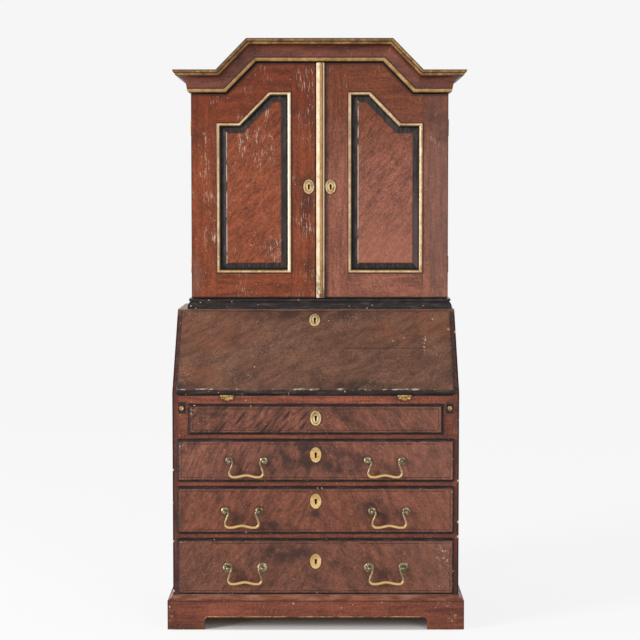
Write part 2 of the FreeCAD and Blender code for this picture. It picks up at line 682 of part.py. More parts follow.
def long_drawers():
    nodes = {}
    for i, name in enumerate(LONG_NAMES):
        floor = long_floors()[i]
        top = floor + LONG_HEIGHTS[i]
        made = drawer(INSIDE, floor, LONG_HEIGHTS[i], LONG_KEY_DROPS[i], False)
        z = top - HANDLE_DROPS[i]
        posts = []
        for side, word in ((-1, "left"), (1, "right")):
            x = side * HANDLE_OFFSETS[i]
            for post_x in (x - BAIL_SPACING / 2, x + BAIL_SPACING / 2):
                foot = Vector(post_x, FRONT - DRAWER_PROUD, z)
                posts += post(foot, ROSE_RADII[i])
                made["front"] = made["front"].cut(shank_hole(foot - Vector(0, OVERRUN, 0)))
            nodes[name + "_" + word + "_bail"] = bail(x, z)
        made["handle_posts"] = Part.makeCompound(posts)
        nodes.update({name + "_" + piece: shape for piece, shape in made.items()})
    return nodes


def frieze_drawer():
    made = drawer(FRIEZE_HALF, FRIEZE_FLOOR, FRIEZE_HEIGHT, FRIEZE_KEY_DROP, True)
    return {"frieze_drawer_" + piece: shape for piece, shape in made.items()}


def lopers():
    x0 = INSIDE - RUN_CLEAR - LOPER_WIDTH
    face = FRONT - LOPER_PROUD
    low = LOPER_FLOOR + RUN_CLEAR
    bar = box(x0, x0 + LOPER_WIDTH, face, BACK_FACE - LOPER_BACK_GAP, low, low + LOPER_HEIGHT)
    foot = Vector(x0 + LOPER_WIDTH / 2, face, low + LOPER_HEIGHT / 2)
    right = Part.makeCompound([bar, knob(foot, Vector(0, -1, 0))])
    return {"left_loper": mirrored(right), "right_loper": right}


# Fall, drawn lying along +Y from its hinge line and then tilted up into its place

def fall():
    top = (BUREAU_TOP - BED_TOP - FALL_THICK * SLOPE_COS) / SLOPE_SIN
    plug_top = (TOP_UNDER - BED_TOP - FALL_INSET * SLOPE_COS - DRAWER_CLEAR) / SLOPE_SIN
    plug = (DRAWER_CLEAR - INSIDE, INSIDE - DRAWER_CLEAR, FALL_FOOT_GAP, plug_top)
    lip = (-INSIDE - FALL_OVERLAP, INSIDE + FALL_OVERLAP, FALL_FOOT_GAP, top)
    raised = Placement(Vector(0, 0, FALL_INSET), Rotation())
    board = placed(lipped_board(plug, lip, FALL_INSET, FALL_THICK - FALL_INSET, FALL_ROUND), raised)
    fixed_spans, moving_spans = hinge_spans(FALL_HINGE)
    leaves = []
    bed_leaves = []
    for x in (-FALL_HINGE_X, FALL_HINGE_X):
        at = Placement(Vector(x, 0, 0), Rotation())
        board = board.cut(placed(hinge_recess(FALL_HINGE, 1), at))
        leaves.append(placed(hinge_leaf(FALL_HINGE, moving_spans, 1, False), FALL_PLACE.multiply(at)))
        bed_at = Placement(Vector(x, FRONT, BED_TOP), Rotation())
        bed_leaves.append(placed(hinge_leaf(FALL_HINGE, fixed_spans, -1, True), bed_at))
    key = top - FALL_KEY_DROP
    at = Placement(Vector(FALL_KEY_X, key, 0), Rotation())
    case = placed(box(-LOCK_WIDTH / 2, LOCK_WIDTH / 2, -LOCK_BELOW, plug_top - key, 0, LOCK_THICK), at)
    hole = placed(keyhole(LOCK_THICK, FALL_THICK + OVERRUN), at)
    plate = placed(keyhole_plate(True), Placement(Vector(FALL_KEY_X, key, FALL_THICK), Rotation()))
    return {
        "fall_board": placed(board.cut([case, hole]), FALL_PLACE),
        "fall_lock": placed(Part.makeCompound([case, plate]), FALL_PLACE),
        "fall_hinge_leaves": Part.makeCompound(leaves),
        "fall_hinge_bed_leaves": Part.makeCompound(bed_leaves),
    }


# Upper case, drawn about its own centre line

def eaves(offset):
    """Break points of the cornice's broken slope, raised square to it: low x, low z, high x, high z."""
    spread = offset * math.tan(BREAK_ANGLE / 2)
    return BREAK_LOW + spread, EAVES + offset, BREAK_HIGH + spread, EAVES + BREAK_RISE + offset


def eaves_line(offset, end):
    """The broken slope from left to right between two ends."""
    low_x, low_z, high_x, high_z = eaves(offset)
    return [(-end, low_z), (-low_x, low_z), (-high_x, high_z), (high_x, high_z), (low_x, low_z), (end, low_z)]


def door_hinge_places():
    """Left hinge frames: X along the pin, Y into the door's width, Z to the back."""
    turn = Rotation(Vector(0, 0, 1), Vector(1, 0, 0), Vector(0, 1, 0), "ZXY")
    low_z = eaves(-DOOR_CLEAR)[1]
    heights = (DOOR_FOOT + DOOR_HINGE_INSET, low_z - DOOR_HINGE_INSET)
    return [Placement(Vector(-HALF_CABINET, DOOR_HINGE_Y, z), turn) for z in heights]


def shelves():
    low = WAIST_TOP
    high = EAVES
    half = CABINET_INSIDE + SHELF_HOUSING
    made = []
    for share in SHELF_HEIGHT_SHARES:
        z = low + share * (high - low)
        made.append(box(-half, half, CASE_FACE + SHELF_SETBACK, BACK_FACE, z, z + SHELF_THICK))
    return made


def cabinet_case():
    top = eaves(ROOF_UNDER)[1]
    boards = shelves()
    left = box(-HALF_CABINET, -CABINET_INSIDE, CASE_FACE, BACK, BUREAU_TOP, top).cut(boards)
    right = mirrored(left)
    for at in door_hinge_places():
        recess = placed(hinge_recess(DOOR_HINGE, 1), at)
        left = left.cut(recess)
        right = right.cut(mirrored(recess))
    back = eaves_line(ROOF_UNDER, CABINET_INSIDE)
    back = back + [(CABINET_INSIDE, BUREAU_TOP), (-CABINET_INSIDE, BUREAU_TOP)]
    inner = eaves_line(ROOF_UNDER, HALF_CABINET)
    outer = eaves_line(ROOF_RISE, HALF_CABINET)
    roof = []
    for i in range(len(inner) - 1):
        roof.append(prism_y([inner[i], inner[i + 1], outer[i + 1], outer[i]], CASE_FACE, BACK))
    floor = WAIST_TOP - CABINET_BOTTOM_THICK
    return {
        "cabinet_left_side": left,
        "cabinet_right_side": right,
        "cabinet_back": prism_y(back, BACK_FACE, BACK),
        "cabinet_bottom": box(-CABINET_INSIDE, CABINET_INSIDE, CASE_FACE, BACK_FACE, floor, WAIST_TOP),
        "cabinet_roof": Part.makeCompound(roof),
        "cabinet_shelves": Part.makeCompound(boards),
    }


def cabinet_mouldings():
    """Waist moulding, and the cornice with the frieze board that it is planted on."""
    left, front, right = Vector(-1, 0, 0), Vector(0, -1, 0), Vector(1, 0, 0)
    waist_path = [Vector(-HALF_CABINET, BACK, BUREAU_TOP), Vector(-HALF_CABINET, DOOR_FACE, BUREAU_TOP),
                  Vector(HALF_CABINET, DOOR_FACE, BUREAU_TOP), Vector(HALF_CABINET, BACK, BUREAU_TOP)]
    waist = mitred_lengths(waist_path, [left, front, right], scaled(WAIST_SHARES, WAIST_OUT, WAIST_HEIGHT))
    backing = box(-HALF_CABINET, HALF_CABINET, DOOR_FACE, CASE_FACE, BUREAU_TOP, WAIST_TOP)
    waist[1] = waist[1].fuse(backing).removeSplitter()
    foot = eaves_line(0, HALF_CABINET)
    path = [Vector(x, DOOR_FACE, z) for x, z in foot]
    path = [Vector(-HALF_CABINET, BACK, EAVES)] + path + [Vector(HALF_CABINET, BACK, EAVES)]
    outs = [left] + [front] * (len(foot) - 1) + [right]
    lengths = mitred_lengths(path, outs, scaled(CORNICE_SHARES, CORNICE_OUT, CORNICE_HEIGHT))
    frieze = prism_y(foot + eaves_line(ROOF_RISE, HALF_CABINET)[::-1], DOOR_FACE, CASE_FACE)
    return {"waist_moulding": Part.makeCompound(waist), "cornice": Part.makeCompound(lengths + [frieze])}


def panel_outline(side, inset):
    """Outline of a door's panel opening, drawn in by the inset, anticlockwise from the front."""
    low_x, low_z, high_x, high_z = eaves(-DOOR_CLEAR - TOP_RAIL - inset)
    inner = PANEL_INNER_X + inset
    outer = PANEL_OUTER_X - inset
    foot = DOOR_FOOT + BOTTOM_RAIL + inset
    points = [(inner, foot), (outer, foot), (outer, low_z), (low_x, low_z), (high_x, high_z), (inner, high_z)]
    if side > 0:
        return points
    return [(-x, z) for x, z in reversed(points)]


def door_frame(side, meeting):
    """Two stiles and two rails, tenoned together and grooved for the panel."""
    edge = side * HALF_CABINET
    low_x, low_z, high_x, high_z = eaves(-DOOR_CLEAR)
    outline = [(edge, DOOR_FOOT), (edge, low_z), (side * low_x, low_z), (side * high_x, high_z),
               (meeting, high_z), (meeting, DOOR_FOOT)]
    whole = prism_y(outline, DOOR_FACE, DOOR_BACK)
    whole = whole.cut(prism_y(panel_outline(side, 0), DOOR_FACE - OVERRUN, DOOR_BACK + OVERRUN))
    shoulders = (side * PANEL_OUTER_X, side * PANEL_INNER_X)

    def strip(xa, xb):
        return box(min(xa, xb), max(xa, xb), DOOR_FACE, DOOR_BACK, DOOR_FOOT, high_z)

    stiles = [whole.common(strip(edge, shoulders[0])), whole.common(strip(shoulders[1], meeting))]
    rails = whole.common(strip(*shoulders)).Solids
    rails.sort(key=lambda rail: rail.CenterOfMass.z)
    middle = (DOOR_FACE + DOOR_BACK - TENON_THICK) / 2
    ends = ((shoulders[0], side, low_z), (shoulders[1], -side, high_z))
    for shoulder, outward, rail_top in ends:
        end = shoulder + outward * TENON_LENGTH
        x0, x1 = min(shoulder, end), max(shoulder, end)
        spans = ((DOOR_FOOT + TENON_SHOULDER, DOOR_FOOT + BOTTOM_RAIL - TENON_SHOULDER),
                 (rail_top - TOP_RAIL + TENON_SHOULDER, rail_top - TENON_SHOULDER))
        for i, (z0, z1) in enumerate(spans):
            tenon = box(x0, x1, middle, middle + TENON_THICK, z0, z1)
            rails[i] = rails[i].fuse(tenon).removeSplitter()
            stiles = [stile.cut(tenon) for stile in stiles]
    groove = panel_plate(side)
    return [piece.cut(groove) for piece in stiles + rails]


def panel_plate(side):
    """Flat of the panel with the tongue that the frame's groove holds."""
    face = DOOR_FACE + PANEL_SINK
    return prism_y(panel_outline(side, -PANEL_TONGUE), face, face + PANEL_THICK)


def door_panel(side):
    """Raised and fielded panel: tongue, bevel and stepped field."""
    face = DOOR_FACE + PANEL_SINK
    field = panel_outline(side, FIELD_INSET)
    bevel = frustum_y(panel_outline(side, BEAD_WIDTH), face, field, face - BEVEL_RISE)
    raised = prism_y(field, face - BEVEL_RISE - FIELD_STEP, face)
    return panel_plate(side).fuse([bevel, raised]).removeSplitter()


def door_bead(side):
    path = [Vector(x, DOOR_FACE + PANEL_SINK, z) for x, z in panel_outline(side, 0)]
    outs = [Vector(0, -1, 0)] * len(path)
    section = scaled(BEAD_SHARES, PANEL_SINK + BEAD_PROUD, BEAD_WIDTH)
    return Part.makeCompound(mitred_lengths(path, outs, section, closed=True))


def door(side, word, meeting):
    """All the pieces of one door."""
    name = word + "_door_"
    frame = door_frame(side, meeting)
    spans = hinge_spans(DOOR_HINGE)[1]
    leaves = []
    for at in door_hinge_places():
        leaf = placed(hinge_leaf(DOOR_HINGE, spans, -1, False), at)
        recess = placed(hinge_recess(DOOR_HINGE, -1), at)
        if side > 0:
            leaf, recess = mirrored(leaf), mirrored(recess)
        leaves.append(leaf)
        frame = [piece.cut(recess) for piece in frame]
    centre = Placement(Vector(side * DOOR_KEY_X, DOOR_FACE, DOOR_FOOT + DOOR_KEY_RISE), UPRIGHT)
    plate = placed(keyhole_plate(True), centre)
    hole = placed(keyhole(LOCK_THICK - DOOR_THICK, OVERRUN), centre)
    nodes = {name + "panel": door_panel(side), name + "bead": door_bead(side),
             name + "hinge_leaves": Part.makeCompound(leaves)}
    if side > 0:
        case = placed(box(meeting - centre.Base.x, LOCK_WIDTH / 2, -LOCK_WIDTH / 2, LOCK_WIDTH / 2,
                          -DOOR_THICK, LOCK_THICK - DOOR_THICK), centre)
        frame = [piece.cut([case, hole]) for piece in frame]
        nodes[name + "lock"] = Part.makeCompound([case, plate])
        section = scaled(ASTRAGAL_SHARES, ASTRAGAL_WIDTH, -ASTRAGAL_PROUD)
        section = [shifted(step, meeting, DOOR_FACE) for step in section]
        nodes[name + "astragal"] = prism_z(section, DOOR_FOOT, eaves(-DOOR_CLEAR)[3])
    else:
        frame = [piece.cut(hole) for piece in frame]
        nodes[name + "keyhole_plate"] = plate
    nodes[name + "frame"] = Part.makeCompound(frame)
    return nodes


def cabinet():
    nodes = cabinet_case()
    nodes.update(cabinet_mouldings())
    nodes.update(door(-1, "left", MEETING_X - MEETING_GAP / 2))
    nodes.update(door(1, "right", MEETING_X + MEETING_GAP / 2))
    spans = hinge_spans(DOOR_HINGE)[0]
    leaves = [placed(hinge_leaf(DOOR_HINGE, spans, 1, True), at) for at in door_hinge_places()]
    nodes["door_hinge_case_leaves"] = Part.makeCompound(leaves + [mirrored(leaf) for leaf in leaves])
    shift = Placement(Vector(CABINET_SHIFT, 0, 0), Rotation())
    return {name: placed(shape, shift) for name, shape in nodes.items()}


def build():
    nodes = {}
    for make in (bureau_sides, bureau_boards, drawer_framing, loper_guides, plinth, pigeonholes, fall, lopers,
                 frieze_drawer, long_drawers, cabinet):
        nodes.update(make())
    right = small_drawer()
    nodes["left_small_drawer"] = mirrored(right)
    nodes["right_small_drawer"] = right
    return nodes


os.makedirs("parts", exist_ok=True)
for node, shape in build().items():
    shape.exportStep("parts/" + node + ".step")
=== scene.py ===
import math

import bpy
from mathutils import Matrix, Vector


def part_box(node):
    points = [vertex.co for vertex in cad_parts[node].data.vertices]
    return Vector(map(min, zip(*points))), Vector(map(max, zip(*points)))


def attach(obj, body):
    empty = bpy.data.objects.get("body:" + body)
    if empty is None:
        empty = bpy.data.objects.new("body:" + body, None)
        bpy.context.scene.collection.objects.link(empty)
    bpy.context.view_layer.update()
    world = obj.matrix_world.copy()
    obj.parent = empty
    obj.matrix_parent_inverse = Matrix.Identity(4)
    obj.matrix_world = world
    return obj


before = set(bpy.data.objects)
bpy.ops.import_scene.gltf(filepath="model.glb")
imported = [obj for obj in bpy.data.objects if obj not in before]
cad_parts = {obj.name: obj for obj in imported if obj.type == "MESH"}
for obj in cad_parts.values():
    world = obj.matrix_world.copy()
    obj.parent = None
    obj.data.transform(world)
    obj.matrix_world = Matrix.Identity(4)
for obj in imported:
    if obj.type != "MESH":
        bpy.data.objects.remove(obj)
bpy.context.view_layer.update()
scene = bpy.context.scene

# Places that the paint and the small brasses follow, in metres
FRONT = -0.23425
DRAWER_FACE = FRONT - 0.009
DOOR_FACE = -0.00735
CABINET_X = 0.012
HALF_CABINET = 0.425
HALF_BUREAU = 0.4575
PANEL_INNER = 0.094
PANEL_OUTER = 0.341
DOOR_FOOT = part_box("left_door_frame")[0].z
PANEL_FOOT = 1.1315
PANEL_DROP = 0.098
BEAD_WIDTH = 0.0125
FIELD_INSET = 0.033
ASTRAGAL_LEFT = 0.0005
ASTRAGAL_WIDTH = 0.027
SIDE_THICK = 0.02
EAVES = 1.726
BREAK_LOW = 0.309
BREAK_HIGH = 0.209
BREAK_RISE = 0.102
CORNICE_HEIGHT = 0.073
PLINTH_CHAMFER = 0.093
ARCH_HEIGHT = 0.04
ARCH_HALF = 0.3565
ARCH_RADIUS = 0.012
PLINTH_HALF = 0.4745
BED_TOP = 0.75
FALL_SLOPE = math.radians(50.5)
FALL_FOOT = Vector((0.0, FRONT, BED_TOP))
FALL_UP = Vector((0.0, math.cos(FALL_SLOPE), math.sin(FALL_SLOPE)))
FALL_OUT = Vector((0.0, -math.sin(FALL_SLOPE), math.cos(FALL_SLOPE)))
FALL_LENGTH = 0.3231
FALL_FACE = 0.02
FALL_HINGE_X = 0.283
STRAP_TOP = 0.7462
HANDLE_HALF = 0.055
HANDLES = {"top_drawer": (0.221, 0.543), "middle_drawer": (0.235, 0.381), "bottom_drawer": (0.226, 0.199)}
KEYHOLES = {"frieze_drawer": (0.0, 0.68), "top_drawer": (0.0, 0.562), "middle_drawer": (0.0, 0.413),
            "bottom_drawer": (0.0, 0.219), "left_door": (-0.024, 1.4175), "right_door": (0.048, 1.4175)}
FALL_KEY_X = -0.004
FALL_KEY_UP = 0.2811
PLATE_THICK = 0.0016
SMALL_DRAWER_FACE = -0.0185
FALL_KEY = FALL_FOOT + Vector((FALL_KEY_X, 0.0, 0.0)) + FALL_UP * FALL_KEY_UP + FALL_OUT * FALL_FACE

# Ways that a face can look
TO_RIGHT = (1, 0, 0)
TO_LEFT = (-1, 0, 0)
TO_FRONT = (0, -1, 0)
TO_BACK = (0, 1, 0)
TO_TOP = (0, 0, 1)
TO_FLOOR = (0, 0, -1)
ORIGIN = (0.0, 0.0, 0.0)

PAINT_GLOSS = 0.28
CORNICE_GLOSS = 0.4
METAL_GLOSS = 0.5


def tint(red, green, blue):
    """Linear colour of a tone matched on the usual scale to 255."""
    return tuple((min(tone, 255) / 255) ** 2.2 for tone in (red, green, blue)) + (1.0,)


def shades(red, green, blue, dark=0.78, light=1.18):
    """Dark, middle and light tone of one paint, then the deepest of its pores and its rubbed tops."""
    plain = [tint(red * level, green * level, blue * level) for level in (dark, 1.0, light, dark - 0.2)]
    rubbed = light + 0.14
    return plain + [tint(red * rubbed, green * rubbed * 1.03, blue * rubbed * 1.04)]


class Nodes:
    """A tree of nodes and the sums that masks are made of."""

    def __init__(self, tree):
        self.tree = tree

    def node(self, kind, inputs=None, **settings):
        made = self.tree.nodes.new(kind)
        for key, value in settings.items():
            setattr(made, key, value)
        for key, value in (inputs or {}).items():
            self.put(made.inputs[key], value)
        return made

    def put(self, socket, value):
        if isinstance(value, bpy.types.NodeSocket):
            self.tree.links.new(value, socket)
        else:
            socket.default_value = value

    def calc(self, operation, first, second=0.0):
        return self.node("ShaderNodeMath", {0: first, 1: second}, operation=operation).outputs[0]

    def vector(self, operation, first, second=ORIGIN, third=ORIGIN):
        inputs = {0: first, 1: second, 2: third}
        return self.node("ShaderNodeVectorMath", inputs, operation=operation).outputs

    def point(self, x, y, z):
        return self.node("ShaderNodeCombineXYZ", {0: x, 1: y, 2: z}).outputs[0]

    def blend(self, mask, outside, inside):
        """One value outside a mask and another inside it."""
        return self.node("ShaderNodeMix", {0: mask, 2: outside, 3: inside}).outputs[0]

    def chain(self, operation, values):
        whole = values[0]
        for value in values[1:]:
            whole = self.calc(operation, whole, value)
        return whole

    def both(self, *masks):
        """Where all the masks are."""
        return self.chain("MULTIPLY", masks)

    def either(self, *masks):
        """Where any of the masks is."""
        return self.chain("MAXIMUM", masks)

    def least(self, *values):
        return self.chain("MINIMUM", values)

    def plus(self, value, amount):
        return self.calc("ADD", value, amount)

    def less(self, value, amount):
        return self.calc("SUBTRACT", value, amount)

    def part(self, mask, share):
        return self.calc("MULTIPLY", mask, share)

    def seen(self):
        """Mask of what the eye sees, straight or by a reflection."""
        rays = self.node("ShaderNodeLightPath").outputs
        return self.either(rays["Is Camera Ray"], rays["Is Glossy Ray"], rays["Is Transmission Ray"])


class Finish(Nodes):
    """One material, its coats laid by the piece's own place in metres."""

    def __init__(self, name):
        self.material = bpy.data.materials.new(name)
        self.material.use_nodes = True
        super().__init__(self.material.node_tree)
        self.shader = self.tree.nodes["Principled BSDF"]
        coordinates = self.node("ShaderNodeTexCoord")
        self.place = coordinates.outputs["Object"]
        self.normal = coordinates.outputs["Normal"]
        self.x, self.y, self.z = self.node("ShaderNodeSeparateXYZ", {0: self.place}).outputs
        self.colour = None

    def along(self, direction, start):
        """Distance from a start along a direction."""
        return self.less(self.vector("DOT_PRODUCT", self.place, direction)["Value"], start)

    def faces(self, direction):
        """How far the surface turns to a direction, from -1 to 1."""
        return self.vector("DOT_PRODUCT", self.normal, direction)["Value"]

    def looks(self, direction, low=0.5, high=0.6):
        """Mask of the faces that look a way."""
        return self.rise(self.faces(direction), low, high)

    def sideways(self):
        """Mask of the faces that look left or right."""
        return self.rise(self.off(self.faces(TO_RIGHT)), 0.6, 0.7)

    def off(self, value, middle=0.0):
        """Distance either way from a middle."""
        return self.calc("ABSOLUTE", self.less(value, middle))

    def rise(self, value, low, high):
        """Mask that goes from 0 at low to 1 at high."""
        return self.node("ShaderNodeMapRange", {"Value": value, "From Min": low, "From Max": high},
                         interpolation_type="SMOOTHSTEP").outputs["Result"]

    def line(self, value, middle, reach):
        """Soft line where a value is near a middle."""
        return self.rise(self.off(value, middle), reach, reach * 0.3)

    def stretched(self, size, turn=0.0, shift=ORIGIN, place=None):
        """A place in a pattern of this size, turned by degrees in the plane of the front."""
        inputs = {"Vector": self.place if place is None else place, "Location": shift, "Scale": size,
                  "Rotation": (0.0, math.radians(turn), 0.0)}
        return self.node("ShaderNodeMapping", inputs, vector_type="TEXTURE").outputs[0]

    def noise(self, scale, detail=3, roughness=0.55, place=None):
        """Even noise, finer as its scale goes up."""
        inputs = {"Vector": self.place if place is None else place, "Scale": scale, "Detail": detail,
                  "Roughness": roughness}
        return self.node("ShaderNodeTexNoise", inputs).outputs[0]

    def grain(self, size, detail=3, roughness=0.55, turn=0, shift=ORIGIN, place=None):
        """Noise stretched to a size in metres, turned by degrees in the plane of the front."""
        return self.noise(1.0, detail, roughness, self.stretched(size, turn, shift, place))

    def wandering(self, place, scale, reach):
        """A place pushed about by a slow noise."""
        push = self.node("ShaderNodeTexNoise", {"Vector": place, "Scale": scale}).outputs["Color"]
        return self.vector("MULTIPLY_ADD", push, (reach, 0.0, reach), place)[0]

    def ragged(self, value, reach, scale=60):
        """A distance made uneven, so that what ends there ends raggedly."""
        uneven = self.less(self.noise(scale, 4, 0.65), 0.5)
        return self.plus(value, self.part(uneven, reach))

    def torn(self, value, low, high, reach, scale):
        """Mask that goes from 0 at low to 1 at high by a ragged line."""
        return self.rise(self.ragged(value, reach, scale), low, high)

    def near(self, x, z, reach_x, reach_z, place=None):
        """Soft oval mask round a point of the front."""
        oval = self.stretched((reach_x, 1000.0, reach_z), shift=(x, 0.0, z), place=place)
        return self.rise(self.vector("LENGTH", oval)["Value"], 1.0, 0.25)

    def marks(self, spots, place=None):
        """Soft ovals round several points."""
        return self.either(*[self.near(*spot, place=place) for spot in spots])

    def over(self, under, colour, mask, share=1.0, blend="MIX"):
        """A colour laid over another by a share of a mask."""
        inputs = {0: self.part(mask, share), 6: under, 7: colour}
        return self.node("ShaderNodeMix", inputs, data_type="RGBA", blend_type=blend).outputs[2]

    def lay(self, colour, mask, share=1.0):
        """One more coat over those laid before."""
        self.colour = self.over(self.colour, colour, mask, share)

    def glaze(self, colour, mask, share):
        """A thin coat that those before it show through."""
        self.colour = self.over(self.colour, colour, mask, share, "MULTIPLY")

    def tones(self, value, *stops):
        ramp = self.node("ShaderNodeValToRGB", {0: value})
        marks = ramp.color_ramp.elements
        for i, (position, colour) in enumerate(stops):
            mark = marks[i] if i < 2 else marks.new(position)
            mark.position = position
            mark.color = colour
        return ramp.outputs[0]

    def specks(self, size, share, reach=0.14, shift=ORIGIN):
        """Mask of small ragged spots, in a share of the cells of this size."""
        push = self.node("ShaderNodeTexNoise", {"Vector": self.place, "Scale": 1.3 / size}).outputs["Color"]
        place = self.vector("MULTIPLY_ADD", push, (size * 0.5,) * 3, self.place)[0]
        cells = self.node("ShaderNodeTexVoronoi",
                          {"Vector": self.stretched((size,) * 3, shift=shift, place=place), "Scale": 1.0})
        lot = self.node("ShaderNodeSeparateColor", {0: cells.outputs["Color"]}).outputs[0]
        spots = self.rise(cells.outputs["Distance"], reach, reach * 0.6)
        return self.both(spots, self.rise(lot, 1 - share, 1.01 - share))

    def above_eaves(self):
        """Height over the broken line of the eaves, square to each of its lengths."""
        across = self.off(self.x, CABINET_X)
        low = self.less(self.z, EAVES)
        slope = math.atan2(BREAK_RISE, BREAK_LOW - BREAK_HIGH)
        run = self.part(self.less(BREAK_LOW, across), math.sin(slope))
        aslant = self.less(self.part(low, math.cos(slope)), run)
        return self.either(self.least(low, aslant), self.less(low, BREAK_RISE))

    def inside_panel(self):
        """Distance in from the edge of a door's panel opening."""
        across = self.off(self.x, CABINET_X)
        return self.least(self.less(across, PANEL_INNER), self.less(PANEL_OUTER, across),
                          self.less(self.z, PANEL_FOOT), self.less(-PANEL_DROP, self.above_eaves()))

    def done(self, roughness, height=None, depth=0.0003, metal=0.0, gloss=PAINT_GLOSS):
        looks = {"Base Color": self.colour, "Roughness": roughness, "Metallic": metal,
                 "Specular IOR Level": gloss}
        for name, value in looks.items():
            self.put(self.shader.inputs[name], value)
        if height is not None:
            bump = self.node("ShaderNodeBump", {"Strength": 0.6, "Distance": depth, "Height": height})
            self.tree.links.new(bump.outputs[0], self.shader.inputs["Normal"])
        return self.material


BLACK = tint(34, 28, 27)
WORN_BLACK = tint(78, 66, 64)
CREAM = tint(216, 194, 168)
PALE = tint(206, 178, 158)
BARE_ORANGE = tint(190, 118, 66)
# Dark brown for real dirt and for painted shade along edges, creases and gaps.
DIRT_AND_SHADE = tint(34, 21, 18)
# Near-black for open joints and for painted shade in gaps, creases and keyholes.
SOOT_AND_SHADE = tint(9, 7, 6)
TOP_BROWN_GLAZE = (0.5, 0.25, 0.0, 1.0)
# Painted shade: a darkening glaze for places that should look shaded.
PAINTED_SHADE = (0.3, 0.27, 0.25, 1.0)
TOP_BROWN_FROM = 1.42
TOP_BROWN_FULL = 1.74


# Layers that several finishes share
def combed(f, tones, broad, fine, strength=0.5, turns=(0, 0), shift=ORIGIN, place=None):
    """Paint combed to look like mahogany: quiet broad tones under fine dark strokes."""
    slow = f.grain(broad, 4, 0.6, turns[0], shift, place)
    strokes = f.grain(fine, 4, 0.65, turns[1], shift, place)
    colour = f.tones(slow, (0.32, tones[0]), (0.5, tones[1]), (0.68, tones[2]))
    return f.over(colour, tones[3], f.rise(strokes, 0.48, 0.68), strength), strokes


def gritty(f, tones, share=0.6, size=(0.0048,) * 3, turn=0, shift=ORIGIN, place=None):
    """Fine crackle in an old coat: dark dirt in the pores and rubbed light tops."""
    fine = f.grain(size, 4, 0.75, turn, shift, place)
    f.lay(tones[3], f.rise(fine, 0.5, 0.66), share)
    f.lay(tones[4], f.rise(fine, 0.48, 0.34), share)


def flecks(f, turn, shift, patches):
    """Short strokes where the top coat has flaked, thick in patches."""
    strokes = f.grain((0.0027, 0.02, 0.028), 5, 0.74, turn, shift)
    return f.both(f.rise(strokes, 0.56, 0.625), patches)


def chipped_black(f, chips, shift=ORIGIN):
    """Black paint, rubbed grey, with chips to the cream ground and to the bare wood."""
    rubbed = f.grain((0.05, 0.02, 0.012), 6, 0.7, shift=shift)
    colour = f.over(BLACK, WORN_BLACK, f.rise(rubbed, 0.46, 0.7), 0.8)
    colour = f.over(colour, BARE_ORANGE, f.specks(0.026, chips, 0.12, shift), 0.9)
    return f.over(colour, CREAM, f.specks(0.015, chips, 0.15, (0.4, 0.2, 0.1)), 0.9)


def gilt(f, tones, shift=ORIGIN):
    """Gold paint, rubbed brown here and there."""
    rubbed = f.grain((0.03, 0.02, 0.03), 6, 0.7, shift=shift)
    dark, middle, light = (tint(*tone) for tone in tones)
    colour = f.tones(rubbed, (0.32, dark), (0.48, middle), (0.64, light))
    colour = f.over(colour, tint(92, 62, 36), f.specks(0.012, 0.35, 0.16, shift), 0.7)
    return f.over(colour, tint(110, 62, 42), f.specks(0.03, 0.35, 0.08, shift), 0.7)


def browned_to_top(f, share):
    """Paint that browns towards the cornice."""
    f.glaze(TOP_BROWN_GLAZE, f.rise(f.z, TOP_BROWN_FROM, TOP_BROWN_FULL), share)


def round_plate(f, x, z, place=None):
    """Dirt gathered round a keyhole plate."""
    f.lay(DIRT_AND_SHADE, f.rise(f.near(x, z, 0.024, 0.0315, place), 0.02, 0.3), 0.7)


# Bare wood, by the way its grain runs
ALONG_X = (0.2, 0.009, 0.009)
ALONG_Y = (0.009, 0.2, 0.009)
ALONG_Z = (0.009, 0.009, 0.2)


def rings(f, size):
    return f.grain(size, 5, 0.62)


def aged_board(f, grain):
    """Bare old board of this grain, stained in places, and the grain again."""
    dark, middle, light = tint(104, 72, 44), tint(150, 112, 74), tint(176, 138, 96)
    colour = f.tones(grain, (0.3, dark), (0.5, middle), (0.7, light))
    return f.over(colour, tint(84, 60, 42), f.rise(f.noise(7), 0.46, 0.72), 0.6), grain


def pine(f):
    """Bare board, its grain along X, or along Y on faces that look sideways."""
    return aged_board(f, f.blend(f.sideways(), rings(f, ALONG_X), rings(f, ALONG_Y)))


# Finishes of the bare wood
def bare_pine():
    f = Finish("bare_pine")
    f.colour, grain = pine(f)
    return f.done(f.rise(grain, -0.6, 1.4), grain)


def back_boards():
    """Upright boards of the two backs, with open joints between them."""
    f = Finish("back_boards")
    board_width = 0.146
    number = f.calc("FLOOR", f.plus(f.calc("DIVIDE", f.x, board_width), 0.5))
    tone = f.node("ShaderNodeTexWhiteNoise", {"W": number}, noise_dimensions="1D").outputs["Value"]
    pushed = f.vector("ADD", f.place, f.point(0.0, 0.0, tone))[0]
    f.colour, grain = aged_board(f, f.grain((0.01, 0.01, 0.24), 5, 0.62, place=pushed))
    f.lay(tint(118, 84, 54), f.rise(tone, 0.2, 0.9), 0.5)
    joint = f.calc("PINGPONG", f.plus(f.x, board_width / 2), board_width / 2)
    f.lay(SOOT_AND_SHADE, f.torn(joint, 0.0016, 0.0008, 0.0008, 60), 0.9)
    f.lay(tint(60, 44, 34), f.rise(f.noise(3.2, 4), 0.5, 0.7), 0.55)
    return f.done(f.rise(grain, -0.7, 1.3), grain, 0.0004)


